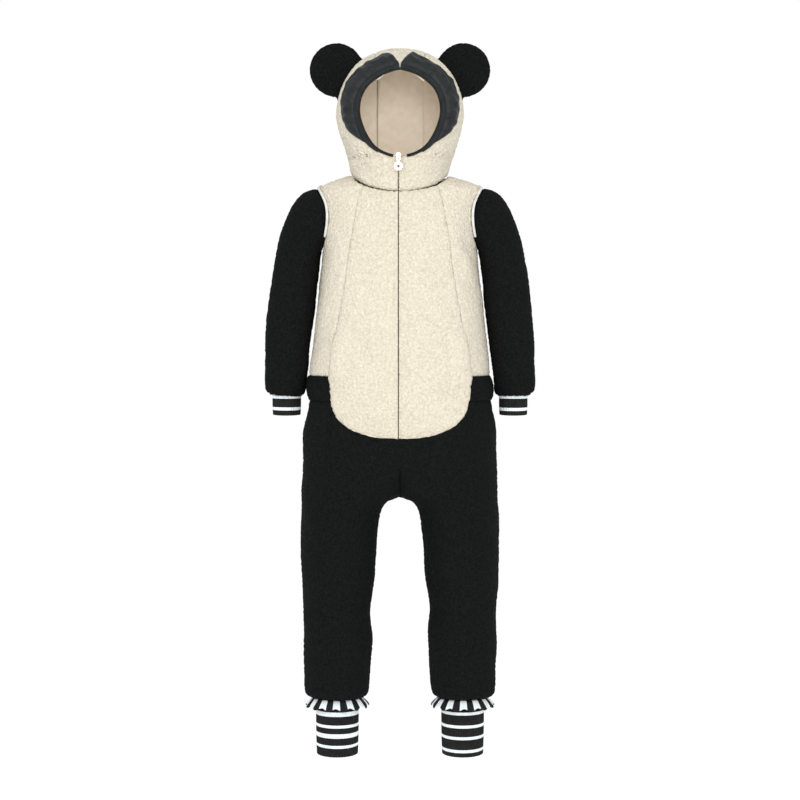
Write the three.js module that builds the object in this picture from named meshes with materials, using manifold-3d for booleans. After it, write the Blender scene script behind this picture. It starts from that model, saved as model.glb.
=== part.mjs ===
// Child's hooded all-in-one suit with ears, filled out as when worn. Millimetres, +Z up, the front
// faces -Y and the wearer's left is +X. The origin lies between the shoulder tips, at their height.
import * as THREE from 'three';
import { mergeVertices } from 'three/addons/utils/BufferGeometryUtils.js';
import Module from 'manifold-3d';

const wasm = await Module();
wasm.setup();

// ---------------------------------------------------------------- driving dimensions
const FLEECE = 4; // pile face and backing together
const LINING = 1.6;
const RIB = 2.2;
const SEAM_GAP = 0.4; // between two pieces that are sewn edge to edge
const ROUNDNESS = 2.3; // exponent of the body and hood sections, 2 is an ellipse
const NECK_HALF = 75;
const NECK_TOP = 20;
const WAIST_SEAM = -288;
const BAND_BOTTOM = -326;
const BELLY_BOTTOM = -382;
const CROTCH = -476;
const LEG_HEM = -787;
const ZIP_X = -2.5;
const ZIP_TOP = 45;
const ZIP_HALF_GAP = 0.8;

// Level rings of the body: half-width, and the depth in front of and behind the side seams.
const BODY_RINGS = [
  { z: 20, half: 75, front: 50, back: 58 },
  { z: 0, half: 125, front: 66, back: 70 },
  { z: -28, half: 122, front: 76, back: 77 },
  { z: -60, half: 120, front: 84, back: 81 },
  { z: -95, half: 119, front: 90, back: 84 },
  { z: -200, half: 130, front: 101, back: 92 },
  { z: -288, half: 139, front: 105, back: 96 },
  { z: -332, half: 141, front: 104, back: 98 },
  { z: -369, half: 148, front: 100, back: 101 },
  { z: -406, half: 150, front: 94, back: 102 },
  { z: -443, half: 151, front: 86, back: 98 },
  { z: -476, half: 152, front: 78, back: 92 },
];

// Level rings of one leg: inner and outer edge, and the depth before and behind the inseam.
const LEG_RINGS = [
  { z: -406, inner: 0, outer: 150, front: 84, back: 94 },
  { z: -476, inner: 0, outer: 152, front: 76, back: 86 },
  { z: -483, inner: 17, outer: 152, front: 75, back: 84 },
  { z: -499, inner: 29, outer: 153, front: 72, back: 81 },
  { z: -539, inner: 35, outer: 154, front: 69, back: 75 },
  { z: -600, inner: 39, outer: 153, front: 66, back: 69 },
  { z: -651, inner: 46, outer: 150, front: 62, back: 64 },
  { z: -693, inner: 43, outer: 150, front: 61, back: 61 },
  { z: -740, inner: 46, outer: 149, front: 57, back: 58 },
  { z: -776, inner: 48, outer: 148, front: 53, back: 54 },
  { z: -784, inner: 51, outer: 145, front: 50, back: 51 },
  { z: -787, inner: 56, outer: 139, front: 45, back: 45 },
];
const CROTCH_RISE = 76; // height over which the crotch seam curves under

// Front princess seam, from the neck down to the lower end of the pocket opening.
const PRINCESS = [
  { z: 3, x: 56 },
  { z: -17, x: 64 },
  { z: -46, x: 69 },
  { z: -84, x: 76 },
  { z: -156, x: 86 },
  { z: -214, x: 97 },
  { z: -250, x: 103 },
  { z: -288, x: 107 },
];
const POCKET = { top: -214, bottom: -288, lift: 4.6, under: 12 };

// The rounded lower edge of the belly panel, from the pocket to the foot of the zip.
const BELLY_EDGE = [
  { z: -288, x: 107 },
  { z: -315, x: 108 },
  { z: -341, x: 102 },
  { z: -358, x: 90 },
  { z: -369, x: 74 },
  { z: -377, x: 52 },
  { z: -381, x: 28 },
  { z: -382, x: 0 },
];

const ARMHOLE = { top: 0, bottom: -95, halfDepth: 37, steps: 7 };

// Sleeve rings past the armhole: innermost point, outermost point and half-depth.
const SLEEVE_RINGS = [
  { innerX: 121, innerZ: -99, outerX: 142, outerZ: -3, depth: 41 },
  { innerX: 123, innerZ: -107, outerX: 158, outerZ: -15, depth: 42 },
  { innerX: 125, innerZ: -124, outerX: 174, outerZ: -41, depth: 42 },
  { innerX: 128, innerZ: -148, outerX: 187, outerZ: -82, depth: 40 },
  { innerX: 131, innerZ: -184, outerX: 199, outerZ: -142, depth: 38 },
  { innerX: 138, innerZ: -236, outerX: 207, outerZ: -216, depth: 35 },
  { innerX: 144, innerZ: -288, outerX: 209, outerZ: -280, depth: 33 },
  { innerX: 147, innerZ: -313, outerX: 208, outerZ: -308, depth: 32 },
  { innerX: 152, innerZ: -319, outerX: 201, outerZ: -316, depth: 27 },
];
const WRIST = { x: 175.5, top: -320, bottom: -349, half: 21.5, depth: 21 };
const ANKLE = { x: 97.5, top: -790, bottom: -876, half: 32.5, depth: 33 };
const FRILL = { top: -789, drop: 11, inner: 36, outer: 49, waves: 8, swing: 2.2 };

// Hood: a rounded box above the cheeks, and level rings between the cheeks and the neck.
const HOOD = { cheek: 110, rise: 104, half: 97.5, front: 93, back: 116, crownPower: 2.1 };
const HOOD_RINGS = [
  { z: 110, half: 97.5, front: 93, back: 116 },
  { z: 82, half: 92, front: 92, back: 110 },
  { z: 58, half: 84, front: 89, back: 97 },
  { z: 40, half: 78, front: 84, back: 80 },
  { z: 20, half: 75, front: 76, back: 59 },
  { z: -10, half: 75, front: 67, back: 59 },
];
const CENTRE_STRIP = 39; // half-width of the strip that runs over the crown

// Edge of the face opening, from its lowest to its highest point.
const FACE_EDGE = [
  { x: 0, z: 46 },
  { x: 25, z: 52 },
  { x: 37, z: 60 },
  { x: 48, z: 75 },
  { x: 55, z: 90 },
  { x: 60, z: 108 },
  { x: 60, z: 122 },
  { x: 57, z: 135 },
  { x: 49, z: 149 },
  { x: 34, z: 162 },
  { x: 16, z: 171 },
  { x: 0, z: 175 },
];
const BINDING = 4; // width of the edge binding

// Outer edge of one eye patch, from its lower tip to the notch over the brow.
const PATCH_EDGE = [
  { x: 33, z: 51 },
  { x: 48, z: 62 },
  { x: 60, z: 71 },
  { x: 72, z: 80 },
  { x: 82, z: 94 },
  { x: 87, z: 110 },
  { x: 88, z: 128 },
  { x: 85, z: 144 },
  { x: 77, z: 162 },
  { x: 61, z: 179 },
  { x: 38, z: 193 },
  { x: 19, z: 202 },
  { x: 1, z: 184 },
];
const PATCH = { puff: 5, rim: 1.6, lift: 1.7 };

const EAR = { x: 98, z: 183, radius: 42, puff: 6, rim: 2, y: 4, chordStart: 56, chordEnd: 98 };
const PIPING = { radius: 2, reach: 3.6, span: 2.15, steps: 14, sides: 5 };
const TAPE = { half: 11, thick: 0.9 };
const SLIDER = { width: 8, height: 9, thick: 3, pivotZ: 45.5, lift: 1.2, arch: 5.4 };
const PULL = { thick: 1.5, length: 23, ring: 6.5, hole: 2.6, stem: 2 };

// ---------------------------------------------------------------- small mathematics
const V = (x, y, z) => new THREE.Vector3(x, y, z);
const mix = (a, b, t) => a + (b - a) * t;
const clamp = (v, lo, hi) => Math.min(hi, Math.max(lo, v));
const spread = (lo, hi, n) => Array.from({ length: n + 1 }, (_, i) => mix(lo, hi, i / n));

// Value of one column of a table at a given key, smooth through its rows.
function along(table, key, column, value) {
  const rising = table[table.length - 1][key] > table[0][key];
  const rows = rising ? table : [...table].reverse();
  const last = rows.length - 1;
  const v = clamp(value, rows[0][key], rows[last][key]);
  let i = 0;
  while (i < last - 1 && v > rows[i + 1][key]) i += 1;
  const slope = (k) => {
    const lo = Math.max(0, k - 1);
    const hi = Math.min(last, k + 1);
    return (rows[hi][column] - rows[lo][column]) / (rows[hi][key] - rows[lo][key]);
  };
  const span = rows[i + 1][key] - rows[i][key];
  const t = (v - rows[i][key]) / span;
  const straight = (rows[i + 1][column] - rows[i][column]) / span;
  const ease = (m) => (m * straight <= 0 ? 0 : Math.sign(m) * Math.min(Math.abs(m), 3 * Math.abs(straight)));
  const m0 = ease(slope(i)) * span;
  const m1 = ease(slope(i + 1)) * span;
  const a = rows[i][column];
  const b = rows[i + 1][column];
  const t2 = t * t;
  const t3 = t2 * t;
  return (2 * t3 - 3 * t2 + 1) * a + (t3 - 2 * t2 + t) * m0 + (3 * t2 - 2 * t3) * b + (t3 - t2) * m1;
}

// Depth of a rounded section at a distance from its middle, as a share of its full depth.
const sectionDepth = (share) => (1 - Math.min(1, Math.abs(share)) ** ROUNDNESS) ** (1 / ROUNDNESS);

// Outward unit normal of a surface given by two numbers, from small steps kept inside its ranges.
function normalOf(surface, a, b, flip = 1, stepA = 0.01, stepB = 0.5) {
  const alongA = surface(a + stepA, b).sub(surface(a - stepA, b));
  const alongB = surface(a, b + stepB).sub(surface(a, b - stepB));
  return alongA.cross(alongB).normalize().multiplyScalar(flip);
}

// ---------------------------------------------------------------- surfaces that the pieces are cut from
const ringOf = (table, z) => ({
  half: along(table, 'z', 'half', z),
  front: along(table, 'z', 'front', z),
  back: along(table, 'z', 'back', z),
});

// A point on a level ring: angle 0 is the front middle, a right angle the wearer's left side.
function onRing({ half, front, back }, angle, z) {
  const s = Math.sin(angle);
  const c = Math.cos(angle);
  const x = half * Math.sign(s) * Math.abs(s) ** (2 / ROUNDNESS);
  const depth = Math.abs(c) ** (2 / ROUNDNESS);
  return V(x, c > 0 ? -front * depth : back * depth, z);
}

// Angle at which a ring passes a given distance from the middle plane, on its front half.
const angleAt = (x, half) => Math.asin(clamp(Math.abs(x) / half, 0, 1) ** (ROUNDNESS / 2));

const bodyAt = (angle, z) => onRing(ringOf(BODY_RINGS, z), angle, z);
const bodyNormal = (angle, z) => normalOf(bodyAt, angle, z, 1);

function hoodRing(z) {
  if (z < HOOD.cheek) return ringOf(HOOD_RINGS, z);
  const rise = Math.min(1, (z - HOOD.cheek) / HOOD.rise);
  const k = (1 - rise ** HOOD.crownPower) ** (1 / ROUNDNESS);
  return { half: HOOD.half * k, front: HOOD.front * k, back: HOOD.back * k };
}
const hoodAt = (angle, z) => onRing(hoodRing(z), angle, z);

// Outward normal of the hood, from the slope of its rounded form, safe right up to the crown.
function hoodNormal(p) {
  const ring = hoodRing(Math.min(p.z, HOOD.cheek));
  const step = 1;
  const level = (x, y, z) => {
    const r = hoodRing(Math.min(z, HOOD.cheek));
    const depth = y < 0 ? r.front : r.back;
    const over = Math.max(0, (z - HOOD.cheek) / HOOD.rise);
    return Math.abs(x / r.half) ** ROUNDNESS + Math.abs(y / depth) ** ROUNDNESS + over ** HOOD.crownPower;
  };
  const dx = level(p.x + step, p.y, p.z) - level(p.x - step, p.y, p.z);
  const dy = level(p.x, p.y + step, p.z) - level(p.x, p.y - step, p.z);
  const dz = level(p.x, p.y, p.z + step) - level(p.x, p.y, p.z - step);
  return ring.half > 0 ? V(dx, dy, dz).normalize() : V(0, 0, 1);
}

// Outer edge of the hips or of one leg at a level, and the inner edge below the crotch.
const outerEdge = (z) => (z >= CROTCH ? along(BODY_RINGS, 'z', 'half', z) : along(LEG_RINGS, 'z', 'outer', z));
const innerEdge = (z) => (z >= CROTCH ? 0 : along(LEG_RINGS, 'z', 'inner', z));

// Depth of the trousers at a distance from the middle plane. The hips part into two legs.
function trouserDepth(x, z, face) {
  const hip = along(BODY_RINGS, 'z', face, z) * sectionDepth(x / outerEdge(z));
  if (z >= CROTCH + CROTCH_RISE) return hip;
  const middle = (innerEdge(z) + outerEdge(z)) / 2;
  const reach = (outerEdge(z) - innerEdge(z)) / 2;
  const across = clamp((x - middle) / reach, -1, 1);
  const leg = along(LEG_RINGS, 'z', face, z) * Math.sqrt(1 - across ** 2);
  if (z <= CROTCH) return leg;
  const fall = (CROTCH + CROTCH_RISE - z) / CROTCH_RISE;
  return mix(leg, hip, Math.sqrt(1 - fall ** 2));
}

// Trousers of the wearer's left: angle 0 is the middle seam or inseam, pi the side seam.
function trouserAt(face) {
  const sign = face === 'front' ? -1 : 1;
  return (angle, z) => {
    const a = clamp(angle, 0, Math.PI);
    const middle = (innerEdge(z) + outerEdge(z)) / 2;
    const x = middle - ((outerEdge(z) - innerEdge(z)) / 2) * Math.cos(a);
    return V(x, sign * trouserDepth(x, z, face), z);
  };
}

// ---------------------------------------------------------------- meshes
// A closed wall of cloth. cell(i, j) gives a point and a normal on its outer surface; the wall runs
// from `proud` outside that surface to `proud - thick`. Loops close across their columns.
function wallGeometry({ rows, columns, cell, thick, proud = 0, loop = false, inset = SEAM_GAP / 2, keep }) {
  const width = loop ? columns : columns + 1;
  const grid = [];
  for (let i = 0; i <= rows; i += 1) {
    for (let j = 0; j < width; j += 1) {
      grid.push(cell(i, j));
    }
  }
  const at = (i, j) => grid[i * width + ((j + width) % width)];
  const shift = (i, j) => {
    const move = V(0, 0, 0);
    const towards = (cellTo) => {
      const step = cellTo.p.clone().sub(at(i, j).p);
      if (step.length() > 1e-6) move.add(step.normalize().multiplyScalar(inset));
    };
    if (i === 0) towards(at(1, j));
    if (i === rows) towards(at(rows - 1, j));
    if (!loop && j === 0) towards(at(i, 1));
    if (!loop && j === columns) towards(at(i, columns - 1));
    return move;
  };
  const outer = [];
  const inner = [];
  for (let i = 0; i <= rows; i += 1) {
    for (let j = 0; j < width; j += 1) {
      const { p, n, up = 0, wall = thick } = at(i, j);
      const base = p.clone().add(shift(i, j));
      const top = base.clone().addScaledVector(n, proud + up);
      const under = base.clone().addScaledVector(n, proud + up - wall);
      outer.push(keep ? keep(top) : top);
      inner.push(keep ? keep(under) : under);
    }
  }
  const points = [...outer, ...inner];
  const back = outer.length;
  const faces = [];
  const index = (i, j) => i * width + (j % width);
  const quad = (a, b, c, d) => faces.push([a, b, c], [a, c, d]);
  for (let i = 0; i < rows; i += 1) {
    for (let j = 0; j < columns; j += 1) {
      const [a, b, c, d] = [index(i, j), index(i, j + 1), index(i + 1, j + 1), index(i + 1, j)];
      quad(a, b, c, d);
      quad(d + back, c + back, b + back, a + back);
    }
  }
  for (let j = 0; j < columns; j += 1) {
    quad(index(0, j + 1), index(0, j), index(0, j) + back, index(0, j + 1) + back);
    quad(index(rows, j), index(rows, j + 1), index(rows, j + 1) + back, index(rows, j) + back);
  }
  if (!loop) {
    for (let i = 0; i < rows; i += 1) {
      quad(index(i, 0), index(i + 1, 0), index(i + 1, 0) + back, index(i, 0) + back);
      quad(index(i + 1, columns), index(i, columns), index(i, columns) + back, index(i + 1, columns) + back);
    }
  }
  return closedGeometry(points, faces);
}

// Merges equal points, drops empty triangles and turns the faces outwards.
function closedGeometry(points, faces) {
  const key = (p) => [p.x, p.y, p.z].map((v) => Math.round(v * 500)).join(',');
  const seen = new Map();
  const kept = [];
  const number = points.map((p) => {
    const k = key(p);
    if (!seen.has(k)) {
      seen.set(k, kept.length);
      kept.push(p);
    }
    return seen.get(k);
  });
  const whole = faces
    .map((f) => f.map((i) => number[i]))
    .filter(([a, b, c]) => a !== b && b !== c && c !== a);
  const volume = whole.reduce((sum, [a, b, c]) => sum + kept[a].dot(kept[b].clone().cross(kept[c])), 0);
  const turned = volume < 0 ? whole.map(([a, b, c]) => [a, c, b]) : whole;
  const geometry = new THREE.BufferGeometry();
  geometry.setAttribute('position', new THREE.Float32BufferAttribute(kept.flatMap((p) => [p.x, p.y, p.z]), 3));
  geometry.setIndex(turned.flat());
  return geometry;
}

const mirrored = (geometry) => {
  const copy = geometry.clone().scale(-1, 1, 1);
  const order = copy.index.array;
  for (let i = 0; i < order.length; i += 3) {
    [order[i + 1], order[i + 2]] = [order[i + 2], order[i + 1]];
  }
  return copy;
};

// ---------------------------------------------------------------- bodice
const ARM_ANGLES = spread(0, Math.PI, ARMHOLE.steps);
const armMiddle = (ARMHOLE.top + ARMHOLE.bottom) / 2;
const armReach = (ARMHOLE.top - ARMHOLE.bottom) / 2;
const ARM_LEVELS = ARM_ANGLES.map((a) => armMiddle + armReach * Math.cos(a));
const LOWER_LEVELS = [-150, POCKET.top, -226, -240, WAIST_SEAM];
const PRINCESS_TOP = PRINCESS[0].z;
const SIDE_LEVELS = [NECK_TOP - 0.8, 12, PRINCESS_TOP, ...ARM_LEVELS, ...LOWER_LEVELS];

// Height of the neckline seam over a distance from the middle plane.
const NECK_SIDE = [
  { x: PRINCESS[0].x, z: PRINCESS_TOP },
  { x: 69, z: 12 },
  { x: NECK_HALF, z: NECK_TOP },
];
const NECK_FRONT = -7;
function neckline(x) {
  if (x >= PRINCESS[0].x) return along(NECK_SIDE, 'x', 'z', x);
  return NECK_FRONT + (PRINCESS_TOP - NECK_FRONT) * (x / PRINCESS[0].x) ** 2;
}

const princessX = (z) => along(PRINCESS, 'z', 'x', z);
const seamX = (z) => (z > PRINCESS_TOP ? along(NECK_SIDE, 'z', 'x', z) : princessX(z));
const underPocket = (z) => z < -230 && z >= WAIST_SEAM;
const liftedEdge = (z) => z < POCKET.top - 5 && z >= WAIST_SEAM;

// Angle of the side seam or, level with the arm, of the armhole's edge. Negative shares run behind.
function sideAngle(z, face) {
  if (z >= ARMHOLE.top || z <= ARMHOLE.bottom) return Math.PI / 2;
  const reach = ARMHOLE.halfDepth * Math.sqrt(1 - ((z - armMiddle) / armReach) ** 2);
  const depth = ringOf(BODY_RINGS, z)[face];
  const angle = Math.acos(clamp(reach / depth, 0, 1) ** (ROUNDNESS / 2));
  return face === 'front' ? angle : Math.PI - angle;
}
const armPoint = (angle) => {
  const z = armMiddle + armReach * Math.cos(angle);
  const face = Math.sin(angle) >= 0 ? 'front' : 'back';
  return bodyAt(sideAngle(z, face), z);
};

const onBody = (angle, z) => ({ p: bodyAt(angle, z), n: bodyNormal(angle, z) });

const SIDE_COLUMNS = 4;
function frontSide() {
  const cell = (i, j) => {
    const z = SIDE_LEVELS[i];
    const half = ringOf(BODY_RINGS, z).half;
    const x = seamX(z) - (underPocket(z) ? POCKET.under : 0);
    return onBody(mix(angleAt(x, half), sideAngle(z, 'front'), j / SIDE_COLUMNS), z);
  };
  const keep = (p) => V(p.x, Math.min(p.y, -SEAM_GAP / 2), p.z);
  return wallGeometry({ rows: SIDE_LEVELS.length - 1, columns: SIDE_COLUMNS, cell, thick: FLEECE, keep });
}

const BACK_LEVELS = SIDE_LEVELS.filter((z) => ![-226, -240].includes(z));
const BACK_COLUMNS = 12;
function backBodice() {
  const cell = (i, j) => {
    const z = BACK_LEVELS[i];
    const start = sideAngle(z, 'back');
    return onBody(mix(start, 2 * Math.PI - start, j / BACK_COLUMNS), z);
  };
  const keep = (p) => V(p.x, Math.max(p.y, SEAM_GAP / 2), p.z);
  return wallGeometry({ rows: BACK_LEVELS.length - 1, columns: BACK_COLUMNS, cell, thick: FLEECE, keep });
}

// ---------------------------------------------------------------- trousers
const LEG_COLUMNS = 8;
const HIP_LEVEL = -400;
const LEG_LEVELS = [-442, CROTCH, -484, -499, -540, -595, -651, -693, -740, -776, LEG_HEM];
const legAngle = (j) => (Math.PI * j) / LEG_COLUMNS;

const bellyLevel = (x) => Math.min(BAND_BOTTOM, along(BELLY_EDGE, 'x', 'z', x));

// Point of the trousers' top edge in one column, where it meets the belly panel or the band.
function trouserTop(j) {
  const surface = trouserAt('front');
  let p = surface(legAngle(j), BELLY_BOTTOM);
  for (let k = 0; k < 6; k += 1) {
    p = surface(legAngle(j), bellyLevel(p.x));
  }
  return p;
}

function trouserPiece(face) {
  const surface = trouserAt(face);
  const sign = face === 'front' ? -1 : 1;
  const levels = (j) => {
    const top = face === 'front' ? trouserTop(j).z : BAND_BOTTOM;
    return [top, HIP_LEVEL, ...LEG_LEVELS];
  };
  const cell = (i, j) => {
    const z = levels(j)[i];
    const a = legAngle(j);
    const p = surface(a, z);
    const inward = clamp(a, 0.02, Math.PI - 0.02);
    const lower = surface(inward, z - 1.5);
    const upper = surface(inward, Math.min(z + 1.5, BAND_BOTTOM));
    const across = surface(clamp(a + 0.03, 0, Math.PI), z).sub(surface(clamp(a - 0.03, 0, Math.PI), z));
    const n = across.cross(upper.sub(lower)).normalize().multiplyScalar(-sign);
    return { p, n };
  };
  const keep = (p) => V(Math.max(p.x, SEAM_GAP / 2), sign * Math.max(sign * p.y, SEAM_GAP / 2), p.z);
  return wallGeometry({ rows: LEG_LEVELS.length + 1, columns: LEG_COLUMNS, cell, thick: FLEECE, keep });
}

// ---------------------------------------------------------------- belly, with the pocket's free edge
const bellyColumns = Array.from({ length: LEG_COLUMNS + 1 }, (_, j) => trouserTop(j))
  .filter((p) => p.z < BAND_BOTTOM - 1);
const BELLY_TURN = bellyColumns.map((p) => ({ x: p.x, z: p.z }));
const BAND_EDGE = [BAND_BOTTOM, -308].map((z) => ({ x: along(BELLY_EDGE, 'z', 'x', z), z }));
const PRINCESS_EDGE = SIDE_LEVELS.filter((z) => z <= PRINCESS_TOP)
  .reverse()
  .map((z) => ({ x: princessX(z), z }));
const CENTRE_EDGE = [...BELLY_TURN, ...BAND_EDGE, ...PRINCESS_EDGE];

function frontCentre(zipEdge) {
  const count = CENTRE_EDGE.length - 1;
  const first = PRINCESS_EDGE[0].z;
  const zipLevel = (i) => {
    const edge = CENTRE_EDGE[i].z;
    const dropped = edge - (PRINCESS_TOP - NECK_FRONT) * clamp(1 - (PRINCESS_TOP - edge) / 90, 0, 1);
    if (edge >= first) return dropped;
    return mix(BELLY_BOTTOM, first, i / (BELLY_TURN.length + BAND_EDGE.length));
  };
  const cell = (i, j) => {
    const edge = CENTRE_EDGE[i];
    const x1 = Math.max(edge.x, zipEdge + 0.6);
    const flap = Math.min(18, (x1 - zipEdge) * 0.3);
    const x = [zipEdge, mix(zipEdge, x1 - flap, 0.35), mix(zipEdge, x1 - flap, 0.7), x1 - flap, x1][j];
    const share = (x - zipEdge) / (x1 - zipEdge);
    const z = mix(zipLevel(i), edge.z, share ** 2);
    const angle = Math.sign(x) * angleAt(x, ringOf(BODY_RINGS, z).half);
    const up = j >= 3 && liftedEdge(edge.z) ? POCKET.lift : 0;
    return { ...onBody(angle, z), up };
  };
  return wallGeometry({ rows: count, columns: 4, cell, thick: FLEECE });
}

// ---------------------------------------------------------------- waist band
const BAND_LEVELS = [
  { z: WAIST_SEAM, bulge: 0 },
  { z: -300, bulge: 4.6 },
  { z: -316, bulge: 4.6 },
  { z: BAND_BOTTOM, bulge: 0 },
];
const BAND_COLUMNS = 20;
function waistBand() {
  const cell = (i, j) => {
    const { z, bulge } = BAND_LEVELS[i];
    const start = angleAt(along(BELLY_EDGE, 'z', 'x', z), ringOf(BODY_RINGS, z).half);
    const end = j === 0 || j === BAND_COLUMNS ? 0 : 1;
    const angle = mix(start, 2 * Math.PI - start, j / BAND_COLUMNS);
    return { ...onBody(angle, z), up: bulge * end };
  };
  return wallGeometry({ rows: BAND_LEVELS.length - 1, columns: BAND_COLUMNS, cell, thick: FLEECE });
}

// ---------------------------------------------------------------- sleeves, piping and cuffs
const ARM_ROUND = 2 * ARMHOLE.steps;
const roundAngle = (j, n) => (2 * Math.PI * j) / n;

function sleeveAt(angle, row) {
  const place = (r) => {
    if (r === 0) return armPoint(angle > Math.PI ? angle - 2 * Math.PI : angle).add(V(SEAM_GAP, 0, 0));
    const ring = SLEEVE_RINGS[r - 1];
    const share = (1 + Math.cos(angle)) / 2;
    const x = mix(ring.innerX, ring.outerX, share);
    const z = mix(ring.innerZ, ring.outerZ, share);
    return V(x, -ring.depth * Math.sin(angle), z);
  };
  const r = clamp(row, 0, SLEEVE_RINGS.length);
  const low = Math.min(Math.floor(r), SLEEVE_RINGS.length - 1);
  return place(low).lerp(place(low + 1), r - low);
}

function sleeve() {
  const turn = (a) => (a + 2 * Math.PI) % (2 * Math.PI);
  const cell = (i, j) => {
    const a = roundAngle(j, ARM_ROUND);
    const across = sleeveAt(turn(a + 0.2), i).sub(sleeveAt(turn(a - 0.2), i));
    const down = sleeveAt(a, i + 0.3).sub(sleeveAt(a, Math.max(i - 0.3, 0)));
    return { p: sleeveAt(a, i), n: across.cross(down).normalize() };
  };
  const rows = SLEEVE_RINGS.length;
  return wallGeometry({ rows, columns: ARM_ROUND, cell, thick: FLEECE, loop: true });
}

// Cord-like piping on the bodice just inside the armhole seam. It ends where the sleeve covers it.
function armholePiping() {
  const { radius, reach, span, steps, sides } = PIPING;
  const centre = (a) => {
    const z = armMiddle + (armReach + reach) * Math.cos(a);
    const face = Math.sin(a) >= 0 ? 'front' : 'back';
    const across = (ARMHOLE.halfDepth + reach) * Math.abs(Math.sin(a));
    const depth = ringOf(BODY_RINGS, z)[face];
    const angle = Math.acos(clamp(across / depth, 0, 1) ** (ROUNDNESS / 2));
    const seat = onBody(face === 'front' ? angle : Math.PI - angle, z);
    return seat.p.addScaledVector(seat.n, radius + 0.9);
  };
  const points = [];
  const faces = [];
  for (let i = 0; i <= steps; i += 1) {
    const a = mix(-span, span, i / steps);
    const run = centre(a + 0.05).sub(centre(a - 0.05)).normalize();
    const out = V(1, 0, 0).addScaledVector(run, -run.x).normalize();
    const aside = run.clone().cross(out);
    for (let j = 0; j < sides; j += 1) {
      const turn = roundAngle(j, sides);
      const n = out.clone().multiplyScalar(Math.cos(turn)).addScaledVector(aside, Math.sin(turn));
      points.push(centre(a).addScaledVector(n, radius));
    }
  }
  for (let i = 0; i < steps; i += 1) {
    for (let j = 0; j < sides; j += 1) {
      const [a, b] = [i * sides + j, i * sides + ((j + 1) % sides)];
      faces.push([a, a + sides, b + sides], [a, b + sides, b]);
    }
  }
  for (let j = 1; j < sides - 1; j += 1) {
    const end = steps * sides;
    faces.push([0, j, j + 1], [end, end + j + 1, end + j]);
  }
  return closedGeometry(points, faces);
}

// A knitted tube: rows of { z, half, depth } round a vertical axis.
function tube(x, rings, columns, thick) {
  const cell = (i, j) => {
    const { z, half, depth } = rings[i];
    const a = roundAngle(j, columns);
    const p = V(x + half * Math.cos(a), depth * Math.sin(a), z);
    return { p, n: V(Math.cos(a) / half, Math.sin(a) / depth, 0).normalize() };
  };
  return wallGeometry({ rows: rings.length - 1, columns, cell, thick, loop: true });
}

const wristCuff = () => tube(WRIST.x, [
  { z: WRIST.top, half: WRIST.half, depth: WRIST.depth },
  { z: (WRIST.top + WRIST.bottom) / 2, half: WRIST.half + 0.6, depth: WRIST.depth + 0.6 },
  { z: WRIST.bottom, half: WRIST.half - 0.8, depth: WRIST.depth - 0.8 },
], 14, RIB);

const ankleCuff = () => tube(ANKLE.x, [
  { z: ANKLE.top, half: ANKLE.half, depth: ANKLE.depth },
  { z: mix(ANKLE.top, ANKLE.bottom, 0.5), half: ANKLE.half + 0.4, depth: ANKLE.depth + 0.4 },
  { z: ANKLE.bottom, half: ANKLE.half - 1.6, depth: ANKLE.depth - 1.6 },
], 18, RIB);

// Wavy striped frill that springs out between the trouser hem and the ankle cuff.
function hemFrill() {
  const columns = FRILL.waves * 4;
  const cell = (i, j) => {
    const a = roundAngle(j, columns);
    const wave = Math.cos(FRILL.waves * a);
    const half = mix(FRILL.inner, FRILL.outer, i) + i * wave * 1.2;
    const z = FRILL.top - FRILL.drop * i + i * FRILL.swing * wave;
    const p = V(ANKLE.x + half * Math.cos(a), half * 0.98 * Math.sin(a), z);
    return { p, n: V(Math.cos(a) * 0.6, Math.sin(a) * 0.6, 0.8) };
  };
  return wallGeometry({ rows: 1, columns, cell, thick: 1.5, loop: true });
}

// ---------------------------------------------------------------- hood
const FACE_MIDDLE = HOOD.cheek;
const fromFace = ({ x, z }, extra) => {
  const radius = Math.hypot(x, z - FACE_MIDDLE);
  const scale = (radius + extra) / radius;
  return { x: x * scale, z: FACE_MIDDLE + (z - FACE_MIDDLE) * scale };
};
const PANEL_EDGE = FACE_EDGE.map((p) => fromFace(p, BINDING));
const panelEdgeX = (z) => along(PANEL_EDGE, 'z', 'x', z);
const FACE_FOOT = PANEL_EDGE[0].z;
const FACE_HEAD = PANEL_EDGE[PANEL_EDGE.length - 1].z;
const stripAngle = (z) => angleAt(CENTRE_STRIP, hoodRing(z).half);
const stripShare = 1 - (CENTRE_STRIP / HOOD.half) ** ROUNDNESS;
const STRIP_TOP = HOOD.cheek + HOOD.rise * stripShare ** (1 / HOOD.crownPower);

const CROWN_LEVEL = STRIP_TOP - 0.7;
const NECK_LEVEL = -20; // stands for the sloping neckline in the lists of levels
const HOOD_LEVELS = [NECK_LEVEL, 30, FACE_FOOT, 48, 58, 74, 94, 114, 133, 148, 160, 177, 192, 203, CROWN_LEVEL];
const LINING_LEVELS = [NECK_LEVEL, 30, FACE_FOOT, 58, 94, 133, 160, 192, CROWN_LEVEL];

// Places along the neckline, from the zip round to the strip at the back.
function neckColumns(zipEdge) {
  const foot = PRINCESS[0].x;
  const flap = Math.min(18, (foot - zipEdge) * 0.3);
  const front = [zipEdge, mix(zipEdge, foot - flap, 0.7), foot - flap, foot, 69, NECK_HALF];
  const turns = front.map((x) => angleAt(x, NECK_HALF));
  const last = Math.PI - angleAt(CENTRE_STRIP, NECK_HALF);
  const behind = spread(Math.PI / 2, last, 4).slice(1);
  return [...turns, ...behind];
}

function frontLimit(z, zipEdge, back) {
  if (z <= FACE_FOOT) return angleAt(zipEdge, hoodRing(z).half);
  if (z >= FACE_HEAD) return stripAngle(z);
  const least = z > FACE_MIDDLE ? CENTRE_STRIP : zipEdge;
  const edge = Math.max(panelEdgeX(z) + back, least);
  return angleAt(edge, hoodRing(z).half);
}

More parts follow.
